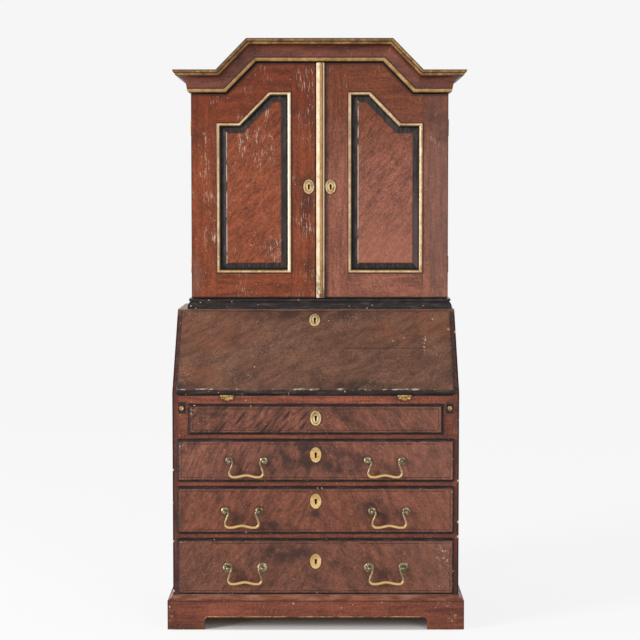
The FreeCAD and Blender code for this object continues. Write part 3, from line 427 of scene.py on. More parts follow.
# Finishes of the upper stage
def by_astragal(f):
    """Painted shade: a black gap on the left door along the astragal, and a painted shadow on the right
    door beside it.
    """
    past_left = f.less(f.x, ASTRAGAL_LEFT)
    past_right = f.less(past_left, ASTRAGAL_WIDTH)
    under = f.rise(past_left, 0.01, 0.012)
    # Painted shade in the gap, then the astragal's painted shadow.
    f.lay(SOOT_AND_SHADE, f.both(f.rise(past_left, -0.0058, -0.0038), f.less(1.0, under)), 0.95)
    f.lay(DIRT_AND_SHADE, f.both(f.rise(past_right, 0.018, 0.001), under), 0.65)


def door_frame_paint(door, tones, top_brown, wear, spots, stains_and_shade, haze_and_sheen, shift):
    """Stiles and rails combed lengthwise, with dark lines of painted shade along every edge, and bare
    behind.
    """
    f = Finish(door + "_paint")
    across = f.off(f.x, CABINET_X)
    stile, stile_strokes = combed(f, tones, (0.016, 0.05, 0.16), (0.0042, 0.02, 0.036), shift=shift)
    rail, rail_strokes = combed(f, tones, (0.16, 0.05, 0.016), (0.036, 0.02, 0.0042), shift=shift)
    in_rail = f.both(f.rise(across, PANEL_INNER - 0.0002, PANEL_INNER + 0.0002),
                     f.rise(across, PANEL_OUTER + 0.0002, PANEL_OUTER - 0.0002))
    f.colour = f.over(stile, rail, in_rail)
    gritty(f, tones)
    clouds = f.noise(11, 5, 0.65)
    f.lay(tones[3], f.rise(clouds, 0.5, 0.74), 0.6)
    browned_to_top(f, top_brown)
    # A grey haze on the paint, partly painted sheen.
    f.lay(tint(104, 80, 72), f.marks(haze_and_sheen), 0.45)
    # Stains in places; on the right door one of them is a painted shadow beside the astragal.
    stained_and_shaded = f.both(f.marks(stains_and_shade), f.rise(clouds, 0.36, 0.6))
    f.lay(tint(54, 28, 22), stained_and_shaded, 0.7)
    joint = f.least(f.off(across, PANEL_INNER), f.off(across, PANEL_OUTER))
    seam = f.torn(joint, 0.0014, 0.0003, 0.0006, 40)
    f.lay(DIRT_AND_SHADE, seam, 0.45)
    worn = f.plus(f.noise(14), f.part(f.marks(spots), 0.24))
    f.lay(PALE, flecks(f, 0, shift, f.rise(worn, 0.52, 0.7)), wear)
    f.lay(CREAM, f.specks(0.015, 0.4, 0.11, shift), 0.2 + 0.5 * wear)
    # Painted shade: dark lines along the outer edge, round the bead, under the cornice and along the foot.
    rim = f.torn(across, HALF_CABINET - 0.0035, HALF_CABINET - 0.0005, 0.003, 60)
    by_bead = f.torn(f.inside_panel(), -0.0034, -0.0008, 0.0016, 80)
    under_cornice = f.torn(f.above_eaves(), -0.014, -0.005, 0.004, 30)
    foot = f.torn(f.z, DOOR_FOOT + 0.006, DOOR_FOOT + 0.001, 0.004, 30)
    f.lay(DIRT_AND_SHADE, f.either(rim, by_bead, under_cornice, foot), 0.85)
    round_plate(f, *KEYHOLES[door])
    by_astragal(f)
    board = aged_board(f, f.blend(in_rail, rings(f, ALONG_Z), rings(f, ALONG_X)))[0]
    f.lay(f.over(board, DIRT_AND_SHADE, seam, 0.7), f.looks(TO_BACK))
    strokes = f.over(stile_strokes, rail_strokes, in_rail)
    return f.done(f.rise(clouds, -0.3, 1.5), strokes)


def door_panel_paint(door, tones, top_brown, wear, spots, highlit_edge, haze_and_sheen, shift):
    """Field combed aslant, on a black bevel, with a painted highlight along the arris of the field that
    faces the light.
    """
    f = Finish(door.replace("door", "panel") + "_paint")
    f.colour, strokes = combed(f, tones, (0.016, 0.05, 0.06), (0.004, 0.02, 0.02), 0.55, (38, 42), shift)
    gritty(f, tones, 0.7, (0.0036, 0.02, 0.008), 42, shift)
    clouds = f.grain((0.05, 0.05, 0.09), 6, 0.68, 38, shift)
    f.lay(tones[3], f.rise(clouds, 0.5, 0.7), 0.5)
    browned_to_top(f, top_brown)
    # Painted sheen: the lower part of the field made paler.
    f.lay(tones[4], f.rise(f.z, 1.4, 1.18), haze_and_sheen)
    worn = f.plus(f.noise(16), f.part(f.marks(spots), 0.26))
    f.lay(PALE, flecks(f, 5, shift, f.rise(worn, 0.54, 0.72)), wear)
    f.lay(CREAM, f.specks(0.017, 0.4, 0.1, shift), 0.2 + 0.5 * wear)
    inset = f.inside_panel()
    dark_edge = f.torn(inset, FIELD_INSET + 0.0045, FIELD_INSET + 0.0005, 0.006, 60)
    f.lay(DIRT_AND_SHADE, dark_edge, 0.5)
    rubbed = f.grain((0.01, 0.05, 0.05), 5, 0.65, shift=shift)
    black = f.over(BLACK, WORN_BLACK, f.rise(rubbed, 0.4, 0.7), 0.8)
    black = f.over(black, tint(96, 62, 50), f.specks(0.022, 0.4, 0.16, shift), 0.5)
    black = f.over(black, tint(150, 120, 105), f.specks(0.014, 0.3, 0.1, shift), 0.7)
    # Painted shade on the bevels that face right, and a painted sheen on their lower part.
    looks_right = f.looks(TO_RIGHT, 0.08, 0.14)
    black = f.over(black, PAINTED_SHADE, looks_right, 0.35, "MULTIPLY")
    black = f.over(black, tint(130, 104, 104), f.both(looks_right, f.rise(f.z, 1.46, 1.28)), haze_and_sheen)
    # Painted shade: the bevel blackened in the crease at the foot of the bead.
    black = f.over(black, SOOT_AND_SHADE, f.rise(inset, BEAD_WIDTH + 0.0036, BEAD_WIDTH + 0.0004), 0.8)
    f.lay(black, f.torn(f.less(f.y, DOOR_FACE), 0.0023, 0.0029, 0.0026, 70))
    # Painted highlight on the step of the field that faces left, towards the light.
    arris = f.both(f.torn(f.off(f.x, highlit_edge), 0.0021, 0.001, 0.001, 90),
                   f.rise(inset, FIELD_INSET - 0.003, FIELD_INSET - 0.0024),
                   f.rise(f.noise(26, 4), 0.36, 0.5))
    f.lay(tint(190, 166, 154), arris, 0.9)
    f.lay(aged_board(f, rings(f, ALONG_Z))[0], f.looks(TO_BACK))
    return f.done(f.rise(clouds, -0.3, 1.5), strokes)


BRIGHT_GOLD = ((148, 104, 58), (196, 154, 98), (224, 194, 146))
DULL_GOLD = ((118, 80, 42), (162, 120, 72), (186, 148, 100))
WARM_GOLD = ((182, 128, 66), (212, 158, 94), (230, 186, 128))
CREAM_GOLD = ((188, 156, 112), (214, 190, 154), (226, 208, 178))
BROWN_GOLD = ((70, 46, 24), (122, 86, 46), (166, 128, 76))
GILT_METAL = 0.2
GILT_ROUGH = 0.36
GILT_GLOSS = 1.0


def bead_gilding():
    """Gold bead with dirt along its outer edge, black from the bevel along its inner foot, partly painted
    shade, and painted highlight on slopes facing left.
    """
    f = Finish("bead_gilding")
    inset = f.ragged(f.inside_panel(), 0.0014, 120)
    f.colour = gilt(f, BRIGHT_GOLD)
    f.lay(tint(84, 46, 30), f.rise(inset, 0.0034, 0.002), 0.9)
    looks_left = f.looks(TO_LEFT, 0.15, 0.4)
    # Painted shade: the black foot reaches less far up slopes that face the light.
    inner_foot = f.less(BEAD_WIDTH - 0.0052, f.part(looks_left, -0.002))
    f.lay(SOOT_AND_SHADE, f.rise(f.less(inset, inner_foot), 0.0, 0.0016), 0.9)
    # Painted highlight: pale on slopes that face left, most on the right-hand bead of the left door.
    x = f.less(f.x, CABINET_X - PANEL_INNER)
    highlit_bead = f.both(f.rise(x, -BEAD_WIDTH - 0.001, -BEAD_WIDTH + 0.001), f.rise(x, 0.002, 0.001))
    pale = f.either(f.part(highlit_bead, 0.62), f.part(looks_left, 0.2))
    f.lay(tint(234, 218, 188), f.both(pale, f.rise(inset, 0.0026, 0.0036)))
    return f.done(GILT_ROUGH, f.noise(180), metal=GILT_METAL, gloss=GILT_GLOSS)


def astragal_gilding():
    """Cream gold round and pale fillet, both paler than the gilding as painted highlight, a warm gold
    hollow, and dark lines in the two grooves.
    """
    f = Finish("astragal_gilding")
    share = f.ragged(f.calc("DIVIDE", f.less(f.x, ASTRAGAL_LEFT), ASTRAGAL_WIDTH), 0.05, 100)
    # Painted highlight: the round that faces the light is given a paler cream gold.
    f.colour = gilt(f, CREAM_GOLD, (0.4, 0.0, 0.3))
    hollow = f.both(f.rise(share, 0.42, 0.47), f.rise(share, 0.8, 0.77))
    f.lay(gilt(f, WARM_GOLD, (0.2, 0.0, 0.6)), hollow, 0.9)
    # Painted highlight: the fillet on the shaded side is made paler.
    f.lay(tint(248, 222, 190), f.rise(share, 0.8, 0.84), 0.8)
    grooves = f.either(f.part(f.line(share, 0.47, 0.055), 0.6), f.line(share, 0.78, 0.075))
    f.lay(tint(100, 68, 32), grooves, 0.85)
    f.lay(tint(62, 38, 24), f.rise(share, 0.97, 1.0), 0.8)
    soiled = f.both(f.rise(f.z, 1.2, 1.05), f.rise(f.noise(60, 4), 0.44, 0.6))
    f.lay(tint(70, 46, 34), soiled, 0.75)
    return f.done(0.5, f.noise(180))


def cornice_paint():
    """Red cove between brown gold fillets and a gold bead, told apart by height above the eaves."""
    f = Finish("cornice_paint")
    height = f.calc("DIVIDE", f.above_eaves(), CORNICE_HEIGHT)
    share = f.ragged(height, 0.03, 90)
    red = shades(104, 57, 43, 0.74, 1.2)
    f.colour, strokes = combed(f, red, (0.1, 0.03, 0.03), (0.03, 0.02, 0.005))
    gritty(f, red)
    # Painted shadow: the upper cove darkened under the fillets.
    f.lay(DIRT_AND_SHADE, f.rise(share, 0.6, 0.74), 0.55)
    f.lay(CREAM, f.specks(0.018, 0.35, 0.09), 0.6)
    bead = f.rise(share, 0.195, 0.175)
    f.lay(gilt(f, DULL_GOLD, (0.3, 0.1, 0.2)), bead)
    f.lay(gilt(f, BROWN_GOLD, (0.1, 0.4, 0.2)), f.rise(share, 0.725, 0.745))
    for groove, reach in ((0.015, 0.042), (0.2, 0.046), (0.735, 0.026), (0.86, 0.03)):
        f.lay(DIRT_AND_SHADE, f.line(share, groove, reach), 0.8)
    f.lay(tint(48, 34, 24), f.rise(share, 0.945, 0.975), 0.9)
    dusty_roof = f.tones(f.noise(30, 4), (0.3, tint(74, 60, 50)), (0.7, tint(128, 112, 96)))
    f.lay(dusty_roof, f.rise(height, 0.996, 0.999))
    f.lay(pine(f)[0], f.looks(TO_BACK))
    return f.done(f.rise(strokes, -0.3, 1.5), strokes, metal=f.part(bead, GILT_METAL), gloss=CORNICE_GLOSS)


def black_paint(name, chips, shift=ORIGIN):
    f = Finish(name)
    streaks = f.grain((0.05, 0.01, 0.004), shift=shift)
    f.colour = chipped_black(f, chips, shift)
    return f.done(f.rise(streaks, -0.1, 1.5), streaks)


# Finishes of the lower stage
def case_side_paint(name, half_outside, middle, tones, shift):
    """Sides of a case: painted outside and on the front edge, bare inside."""
    f = Finish(name)
    f.colour, strokes = combed(f, tones, (0.05, 0.016, 0.2), (0.02, 0.0042, 0.06), shift=shift)
    gritty(f, tones)
    clouds = f.noise(6, 5, 0.62)
    f.lay(tint(66, 38, 31), f.rise(clouds, 0.48, 0.72), 0.6)
    f.lay(PALE, flecks(f, 0, shift, f.rise(f.noise(9), 0.48, 0.66)), 0.4)
    across = f.off(f.x, middle)
    front = f.looks(TO_FRONT, 0.4, 0.5)
    rim = f.torn(f.off(across, half_outside), 0.0064, 0.0034, 0.004, 60)
    # Painted shade on the front edge of the left side, and dark arris lines that are partly painted shade.
    f.glaze(PAINTED_SHADE, f.both(front, f.rise(f.x, 0.1, -0.1)), 0.45)
    f.lay(DIRT_AND_SHADE, f.both(rim, front), 0.95)
    f.lay(CREAM, f.both(rim, front, f.specks(0.026, 0.4, 0.26, shift)), 0.9)
    f.lay(CREAM, f.specks(0.022, 0.28, 0.09, shift), 0.8)
    board = aged_board(f, rings(f, ALONG_Z))[0]
    inner = half_outside - SIDE_THICK
    inside = f.both(f.rise(across, inner + 0.001, inner + 0.0005), f.rise(front, 0.6, 0.4))
    f.lay(board, f.either(inside, f.looks(TO_BACK, 0.8, 0.9)))
    return f.done(f.rise(clouds, -0.3, 1.5), strokes)


FALL_TONES = shades(104, 72, 57)


def bureau_top_paint():
    """Red top, pale on its top face with dust and painted sheen, its front edge brown like the fall below
    it.
    """
    f = Finish("bureau_top_paint")
    tones = shades(104, 56, 44)
    f.colour, strokes = combed(f, tones, (0.2, 0.02, 0.02), (0.07, 0.004, 0.004))
    # Dust, with a painted sheen where the top face caught the light.
    dust_and_highlight = f.tones(f.noise(24, 5), (0.3, tint(150, 138, 124)), (0.7, tint(214, 208, 196)))
    f.lay(dust_and_highlight, f.looks(TO_TOP, 0.8, 0.9), 0.9)
    f.lay(CREAM, f.specks(0.02, 0.4, 0.12), 0.7)
    brown = combed(f, FALL_TONES, (0.06, 0.02, 0.02), (0.02, 0.02, 0.004))[0]
    f.lay(brown, f.looks(TO_FRONT, 0.3, 0.5))
    f.lay(pine(f)[0], f.looks(TO_BACK))
    return f.done(0.6, strokes)


def from_drawers(f):
    """Distance on the front from the nearest drawer lip."""
    gaps = []
    for drawer in ("frieze_drawer", *HANDLES):
        low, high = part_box(drawer + "_front")
        middle = (low.z + high.z) / 2
        gaps.append(f.either(f.less(f.off(f.x), high.x), f.less(f.off(f.z, middle), high.z - middle)))
    return f.least(*gaps)


def framing_paint():
    """Rails and partitions: painted on the front with short upright strokes, bare behind."""
    f = Finish("framing_paint")
    tones = shades(136, 76, 58, 0.74, 1.2)
    f.colour, strokes = combed(f, tones, (0.16, 0.03, 0.012), (0.05, 0.02, 0.004), 0.35)
    upright = f.grain((0.0038, 0.02, 0.03), 4, 0.65)
    f.lay(tones[3], f.rise(upright, 0.48, 0.68), 0.6)
    gritty(f, tones)
    clouds = f.noise(10, 4)
    ends = f.rise(f.off(f.x), 0.33, 0.44)
    dark = f.either(f.part(f.rise(clouds, 0.5, 0.74), 0.6), f.part(ends, 0.35))
    f.lay(tint(70, 42, 34), dark)
    # Painted shade: the framing below the frieze drawer darkened.
    f.glaze(PAINTED_SHADE, f.rise(f.z, 0.66, 0.62), 0.28)
    f.lay(CREAM, f.specks(0.024, 0.25, 0.09), 0.8)
    f.lay(BARE_ORANGE, f.specks(0.04, 0.3, 0.12, (0.1, 0.2, 0.3)), 0.5)
    # Painted shadow along the drawer lips, and darkening round the hinge straps.
    by_lip = f.torn(from_drawers(f), 0.005, 0.0012, 0.005, 35)
    hinges = f.marks([(x, STRAP_TOP - 0.003, 0.036, 0.02) for x in (-FALL_HINGE_X, FALL_HINGE_X)])
    f.lay(DIRT_AND_SHADE, f.either(by_lip, hinges), 0.85)
    f.lay(pine(f)[0], f.rise(f.y, FRONT + 0.0004, FRONT + 0.0012))
    return f.done(f.rise(clouds, -0.3, 1.5), strokes)


def plinth_paint():
    """Plinth combed lengthwise, dusty and paler as painted highlight on its chamfer, and chipped along its
    arch and feet.
    """
    f = Finish("plinth_paint")
    sideways = f.sideways()
    tones = shades(126, 70, 53, 0.76, 1.18)
    front, strokes = combed(f, tones, (0.25, 0.05, 0.022), (0.07, 0.03, 0.0042))
    side = combed(f, tones, (0.05, 0.25, 0.022), (0.03, 0.07, 0.0042))[0]
    f.colour = f.over(front, side, sideways)
    gritty(f, tones)
    clouds = f.noise(9, 5, 0.62)
    f.lay(tint(62, 36, 30), f.rise(clouds, 0.48, 0.72), 0.65)
    across = f.off(f.x)
    # Painted shade: the ends of the plinth darkened.
    f.glaze(PAINTED_SHADE, f.rise(across, 0.32, 0.4), 0.36)
    under = f.line(f.ragged(f.z, 0.012, 25), PLINTH_CHAMFER - 0.002, 0.0034)
    f.lay(DIRT_AND_SHADE, under, 0.5)
    # Dust, and a painted highlight on the chamfer that faces up to the light.
    dust_and_highlight = f.rise(f.grain((0.08, 0.08, 0.02), 5), 0.38, 0.66)
    chamfer = f.rise(f.z, PLINTH_CHAMFER, PLINTH_CHAMFER + 0.0015)
    f.lay(tint(168, 122, 102), f.both(chamfer, dust_and_highlight), 0.7)
    past_side = f.either(f.less(across, ARCH_HALF - ARCH_RADIUS), 0.0)
    past_top = f.either(f.less(f.z, ARCH_HEIGHT - ARCH_RADIUS), 0.0)
    corner = f.point(past_side, 0.0, past_top)
    from_arch = f.less(f.vector("LENGTH", corner)["Value"], ARCH_RADIUS)
    chipping = f.rise(f.noise(30), 0.4, 0.52)
    edge = f.both(f.torn(from_arch, 0.003, 0.0006, 0.006, 45), chipping)
    arch = f.both(edge, f.rise(f.z, ARCH_HEIGHT - ARCH_RADIUS, ARCH_HEIGHT - 0.002))
    f.lay(tint(210, 164, 112), arch, 0.9)
    # Painted shadow lines along the ends and the foot of the front.
    rim = f.either(f.torn(across, PLINTH_HALF - 0.004, PLINTH_HALF - 0.001, 0.003, 60),
                   f.torn(f.z, 0.005, 0.002, 0.004, 45))
    f.lay(DIRT_AND_SHADE, f.both(rim, f.rise(sideways, 0.6, 0.4)), 0.6)
    foot = f.both(f.torn(f.z, 0.004, 0.001, 0.008, 45), chipping)
    f.lay(tint(176, 126, 84), foot, 0.35)
    f.lay(CREAM, f.specks(0.022, 0.35, 0.11), 0.9)
    scuffed = f.marks(((0.415, 0.085, 0.045, 0.018), (0.44, 0.035, 0.03, 0.03),
                       (-0.462, 0.045, 0.016, 0.03)))
    flaked = f.rise(f.noise(120, 5, 0.75), 0.54, 0.62)
    f.lay(tint(196, 148, 124), f.both(scuffed, flaked), 0.7)
    inside = f.either(f.looks(TO_BACK, 0.8, 0.9), f.looks(TO_FLOOR, 0.8, 0.9))
    f.lay(pine(f)[0], inside, 0.7)
    return f.done(f.rise(clouds, -0.3, 1.5), strokes)


def fall_paint():
    """Writing flap: brown, handled and scratched, with a chipped black edge."""
    f = Finish("fall_paint")
    up = f.along(FALL_UP, FALL_FOOT.dot(FALL_UP))
    out = f.along(FALL_OUT, FALL_FOOT.dot(FALL_OUT))
    flat = f.point(f.x, out, up)
    swirl = f.wandering(flat, 4.0, 0.12)
    f.colour, strokes = combed(f, FALL_TONES, (0.02, 0.05, 0.06), (0.004, 0.02, 0.024), turns=(58, 55),
                               place=swirl)
    gritty(f, FALL_TONES, 0.7, (0.0034, 0.02, 0.01), 55, place=swirl)
    streaks = f.rise(f.grain((0.008, 0.02, 0.07), 5, 0.55, 62, place=swirl), 0.44, 0.62)
    reddened = f.marks(((-0.36, 0.24, 0.24, 0.13), (0.34, 0.26, 0.22, 0.1),
                        (-0.4, 0.06, 0.12, 0.08)), flat)
    f.lay(tint(136, 78, 56), f.both(streaks, reddened), 0.65)
    clouds = f.noise(14, 6, 0.68, flat)
    f.lay(tint(60, 43, 36), f.rise(clouds, 0.5, 0.72), 0.38)
    soiled = f.marks(((0.0, 0.31, 0.4, 0.05), (0.1, 0.02, 0.25, 0.04), (-0.42, 0.02, 0.1, 0.04)), flat)
    f.lay(tint(50, 36, 31), f.both(soiled, f.rise(clouds, 0.3, 0.6)), 0.75)
    worn = f.plus(f.noise(9, place=flat), f.part(f.near(-0.16, 0.19, 0.26, 0.14, flat), 0.13))
    where = f.rise(worn, 0.48, 0.64)
    for turn, size in ((24, 0.0022), (-38, 0.002), (72, 0.0024)):
        scratch = f.grain((size, 0.02, 0.026), 3, 0.65, turn, place=swirl)
        f.lay(tint(172, 140, 120), f.both(f.rise(scratch, 0.6, 0.68), where), 0.75)
    f.lay(tint(188, 158, 136), f.specks(0.014, 0.45, 0.09), 0.7)
    chips = f.both(f.near(0.352, 0.2, 0.008, 0.07, flat), f.rise(f.noise(110), 0.56, 0.62))
    f.lay(CREAM, f.either(chips, f.specks(0.034, 0.3, 0.07, (0.5, 0.2, 0.6))), 0.85)
    crack = f.both(f.rise(f.off(f.ragged(up, 0.002, 20), 0.17), 0.0018, 0.0006),
                   f.rise(f.x, 0.07, 0.1), f.rise(f.x, 0.37, 0.34))
    f.lay(tint(36, 25, 22), crack, 0.9)
    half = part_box("fall_board")[1].x
    edge = f.least(f.less(half + 0.003, f.off(f.x)), up, f.less(FALL_LENGTH + 0.0085, up))
    lip = f.either(f.torn(edge, 0.0105, 0.0075, 0.008, 45), f.rise(out, 0.0172, 0.016))
    f.lay(chipped_black(f, 0.24, (0.2, 0.6, 0.1)), lip)
    chipping = f.grain((0.035, 0.02, 0.02), 6, 0.75)
    foot = f.both(f.line(f.ragged(up, 0.008, 40), 0.012, 0.0034), f.rise(chipping, 0.53, 0.58))
    f.lay(tint(198, 184, 168), foot, 0.85)
    corner = f.rise(f.near(0.434, 0.245, 0.006, 0.008, flat), 0.1, 0.4)
    f.lay(BARE_ORANGE, corner, 0.9)
    round_plate(f, FALL_KEY_X, FALL_KEY_UP, flat)
    f.lay(pine(f)[0], f.looks(FALL_OUT, -0.5, -0.7))
    return f.done(f.rise(clouds, -0.4, 1.4), strokes)


def handle_places(drawer):
    """Middles of the two handles of a long drawer; the frieze drawer has none."""
    if drawer not in HANDLES:
        return []
    x, z = HANDLES[drawer]
    return [(-x, z), (x, z)]


def drawer_paint(drawer, tones, slant, figure, dark_spots, bare_spots, shift):
    """Drawer front figured from its middle to both ends, more on the left, with a chipped black lip."""
    f = Finish(drawer + "_front_paint")
    low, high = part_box(drawer + "_front")
    half_height = (high.z - low.z) / 2
    up = f.less(f.z, low.z + half_height)
    place = f.wandering(f.point(f.off(f.x), f.x, up), 7.0, 0.022)
    turns = (-slant, -slant - 8)
    f.colour, strokes = combed(f, tones, (0.022, 0.05, 0.06), (0.004, 0.02, 0.02), 0.55,
                               turns, shift, place)
    gritty(f, tones, 0.65, (0.0033, 0.02, 0.0085), turns[1], shift, place)
    feather = f.grain((0.012, 0.05, 0.11), 3, 0.5, -slant, shift, place)
    figured = f.both(f.rise(feather, 0.45, 0.72), f.plus(f.rise(f.x, 0.08, -0.08), 0.35))
    f.lay(tint(56, 35, 30), figured, figure)
    clouds = f.grain((0.06, 0.05, 0.045), 5, 0.6, 30, shift)
    f.lay(tint(58, 38, 34), f.rise(clouds, 0.5, 0.72), 0.42)
    # Painted sheen: the front paler towards its right end.
    f.lay(tint(170, 120, 104), f.rise(f.x, 0.1, 0.42), 0.09)
    soiled = f.both(f.marks(dark_spots), f.rise(clouds, 0.34, 0.58))
    f.lay(tint(42, 31, 30), soiled, 0.75)
    smudge = f.rise(f.noise(34, 5, 0.65), 0.36, 0.6)
    for x, z in handle_places(drawer):
        grime = f.both(f.near(x, z - 0.026, 0.062, 0.04), smudge)
        f.lay(tint(46, 29, 25), grime, 0.55)
        for post_x in (x - HANDLE_HALF, x + HANDLE_HALF):
            f.lay(DIRT_AND_SHADE, f.near(post_x, z, 0.024, 0.024), 0.6)
    f.lay(PALE, f.specks(0.018, 0.35, 0.09, shift), 0.75)
    flaked = f.rise(f.noise(130, 5, 0.75), 0.55, 0.62)
    f.lay(CREAM, f.both(f.marks(bare_spots), flaked), 0.8)
    edge = f.least(f.less(high.x, f.off(f.x)), f.less(half_height, f.off(up)))
    # Painted shade: a fine dark line at the step of the lip's moulding.
    fine_line = f.both(f.line(edge, 0.0135, 0.002), f.rise(f.noise(14), 0.35, 0.55))
    f.lay(tint(44, 28, 25), fine_line, 0.75)
    f.lay(chipped_black(f, 0.28, shift), f.torn(edge, 0.0076, 0.0056, 0.006, 45))
    round_plate(f, *KEYHOLES[drawer])
    f.lay(pine(f)[0], f.rise(f.y, FRONT - 0.0001, FRONT + 0.0003))
    return f.done(f.rise(clouds, -0.4, 1.4), strokes)


# Finishes of the metal
def tarnished(f, dark, middle, light):
    """First coat of a brass, with grime in its hollows, and the unevenness of its tarnish."""
    tarnish = f.grain((0.014,) * 3, 5, 0.65)
    f.colour = f.tones(tarnish, (0.32, tint(*dark)), (0.48, tint(*middle)), (0.66, tint(*light)))
    hollows = f.node("ShaderNodeAmbientOcclusion", {"Distance": 0.006}, only_local=True, samples=8)
    f.lay(tint(36, 25, 15), f.rise(hollows.outputs["AO"], 0.94, 0.5), 0.9)
    return tarnish


def cast(f, tarnish, rough, metal):
    """The skin of cast brass, smoother where it is bright."""
    uneven = f.plus(f.part(f.less(0.5, tarnish), 0.5), rough)
    return f.done(uneven, f.noise(420, 2), 0.0001, metal, METAL_GLOSS)


def brass(name, dark, middle, light, rough, metal):
    f = Finish(name)
    return cast(f, tarnished(f, dark, middle, light), rough, metal)


def plate_brass(name, dark, middle, light, rough, metal):
    """Keyhole plate, painted black in the shape of the keyhole as painted shade, and chipped pale at the
    rim.
    """
    f = Finish(name)
    tarnish = tarnished(f, dark, middle, light)
    holes = list(KEYHOLES.values()) + [(FALL_KEY.x, FALL_KEY.z)]
    f.lay(tint(104, 86, 58), f.marks([(x, z + 0.019, 0.03, 0.017) for x, z in holes]), 0.35)
    # Painted shade: the keyhole's bow and slot painted black.
    bows = f.marks([(x, z + 0.004, 0.0066, 0.0066) for x, z in holes])
    slots = f.marks([(x, z - 0.003, 0.005, 0.0115) for x, z in holes])
    f.lay(SOOT_AND_SHADE, f.torn(f.either(bows, slots), 0.25, 0.6, 0.2, 300))
    f.lay(tint(238, 222, 196), f.specks(0.007, 0.3, 0.16), 0.7)
    return cast(f, tarnish, rough, metal)


def bail_metal():
    """Bails, dull on their arms and rubbed bright along the grip."""
    f = Finish("bail_brass")
    tarnish = tarnished(f, (88, 77, 57), (138, 121, 92), (178, 157, 120))
    grips = []
    for drawer in HANDLES:
        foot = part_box(drawer + "_left_bail")[0].z
        up = f.less(f.z, foot)
        grips.append(f.both(f.rise(up, 0.02, 0.008), f.rise(up, -0.004, -0.002)))
    f.lay(tint(214, 176, 116), f.either(*grips), 0.85)
    return cast(f, tarnish, 0.42, 0.5)


def iron():
    f = Finish("lock_iron")
    rust = f.noise(90, 5)
    f.colour = f.tones(rust, (0.35, tint(36, 32, 30)), (0.55, tint(60, 53, 48)), (0.72, tint(92, 58, 38)))
    return f.done(0.55, rust, metal=0.5, gloss=METAL_GLOSS)


def dress(material, *names):
    for name in names:
        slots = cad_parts[name].data.materials
        slots.clear()
        slots.append(material)


def dress_part(material, name, belongs):
    """A second material on the faces of a node whose middle passes a test."""
    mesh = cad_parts[name].data
    mesh.materials.append(material)
    for face in mesh.polygons:
        if belongs(face.center):
            face.material_index = len(mesh.materials) - 1


bail_brass = bail_metal()
post_bronze = brass("post_bronze", (64, 57, 42), (112, 101, 78), (170, 156, 124), 0.34, 0.8)
knob_brass = brass("knob_brass", (96, 68, 42), (156, 118, 78), (200, 166, 122), 0.45, 0.6)
plain_plate = plate_brass("plain_plate_brass", (186, 136, 78), (212, 170, 108), (226, 192, 136), 0.52, 0.3)
ringed_plate = plate_brass("ringed_plate_brass", (160, 124, 74), (216, 184, 128), (238, 214, 168),
                           0.45, 0.45)
hinge_brass = brass("hinge_brass", (84, 60, 34), (168, 130, 76), (212, 178, 118), 0.45, 0.8)
lock_iron = iron()
wood = bare_pine()

RIGHT_TONES = shades(135, 83, 67)
RIGHT_WORN = ((0.1, 1.76, 0.02, 0.03), (0.03, 1.3, 0.01, 0.2))
# Tones, browning to the top, wear, worn spots, stains and painted shadow, haze and painted sheen, and shift
# of each door's frame
DOOR_FRAME_LOOKS = {
    "left_door": (
        shades(123, 62, 38), 0.5, 0.85,
        ((-0.37, 1.53, 0.03, 0.13), (-0.357, 1.37, 0.022, 0.1), (-0.04, 1.31, 0.03, 0.1),
         (-0.03, 1.76, 0.05, 0.07), (-0.375, 1.13, 0.02, 0.03)),
        ((-0.03, 1.36, 0.035, 0.14), (-0.375, 1.135, 0.02, 0.03), (-0.02, 1.14, 0.05, 0.08)),
        ((-0.4, 1.12, 0.03, 0.1),), (0.3, 0.0, 0.2)),
    "right_door": (
        RIGHT_TONES, 0.75, 0.4, RIGHT_WORN,
        # The last stain of the right door is a painted shadow beside the astragal.
        ((0.048, 1.37, 0.03, 0.05), (0.4, 1.62, 0.05, 0.1), (0.03, 1.4, 0.016, 0.7)),
        ((0.405, 1.38, 0.075, 0.6),), (0.7, 0.0, 0.5)),
}
# Tones, browning to the top, wear, worn spots, edge with a painted highlight, haze and painted sheen, and
# shift of each door's panel
DOOR_PANEL_LOOKS = {
    "left_door": (
        shades(132, 70, 46), 0.5, 0.9,
        ((-0.245, 1.57, 0.025, 0.1), (-0.189, 1.55, 0.03, 0.12), (-0.15, 1.53, 0.025, 0.08),
         (-0.13, 1.23, 0.03, 0.1)),
        CABINET_X - PANEL_OUTER + FIELD_INSET, 0.0, (0.2, 0.0, 0.9)),
    "right_door": (
        RIGHT_TONES, 0.75, 0.2, RIGHT_WORN, CABINET_X + PANEL_INNER + FIELD_INSET, 0.35, (0.6, 0.0, 0.4)),
}
for door in DOOR_FRAME_LOOKS:
    dress(door_frame_paint(door, *DOOR_FRAME_LOOKS[door]), door + "_frame")
    dress(door_panel_paint(door, *DOOR_PANEL_LOOKS[door]), door + "_panel")
dress(bead_gilding(), "left_door_bead", "right_door_bead")
dress(astragal_gilding(), "right_door_astragal")
dress(cornice_paint(), "cornice")
dress(black_paint("waist_black", 0.2), "waist_moulding")
dress(case_side_paint("bureau_side_paint", HALF_BUREAU, 0.0, shades(108, 58, 45, 0.72), (0.1, 0.5, 0.2)),
      "bureau_left_side", "bureau_right_side")
dress(case_side_paint("cabinet_side_paint", HALF_CABINET, CABINET_X, shades(120, 66, 49), (0.8, 0.2, 0.6)),
      "cabinet_left_side", "cabinet_right_side")
dress(bureau_top_paint(), "bureau_top")
dress(framing_paint(), "drawer_framing", "loper_guides", "writing_bed")
dress(plinth_paint(), "plinth_front", "plinth_returns")
dress(fall_paint(), "fall_board")

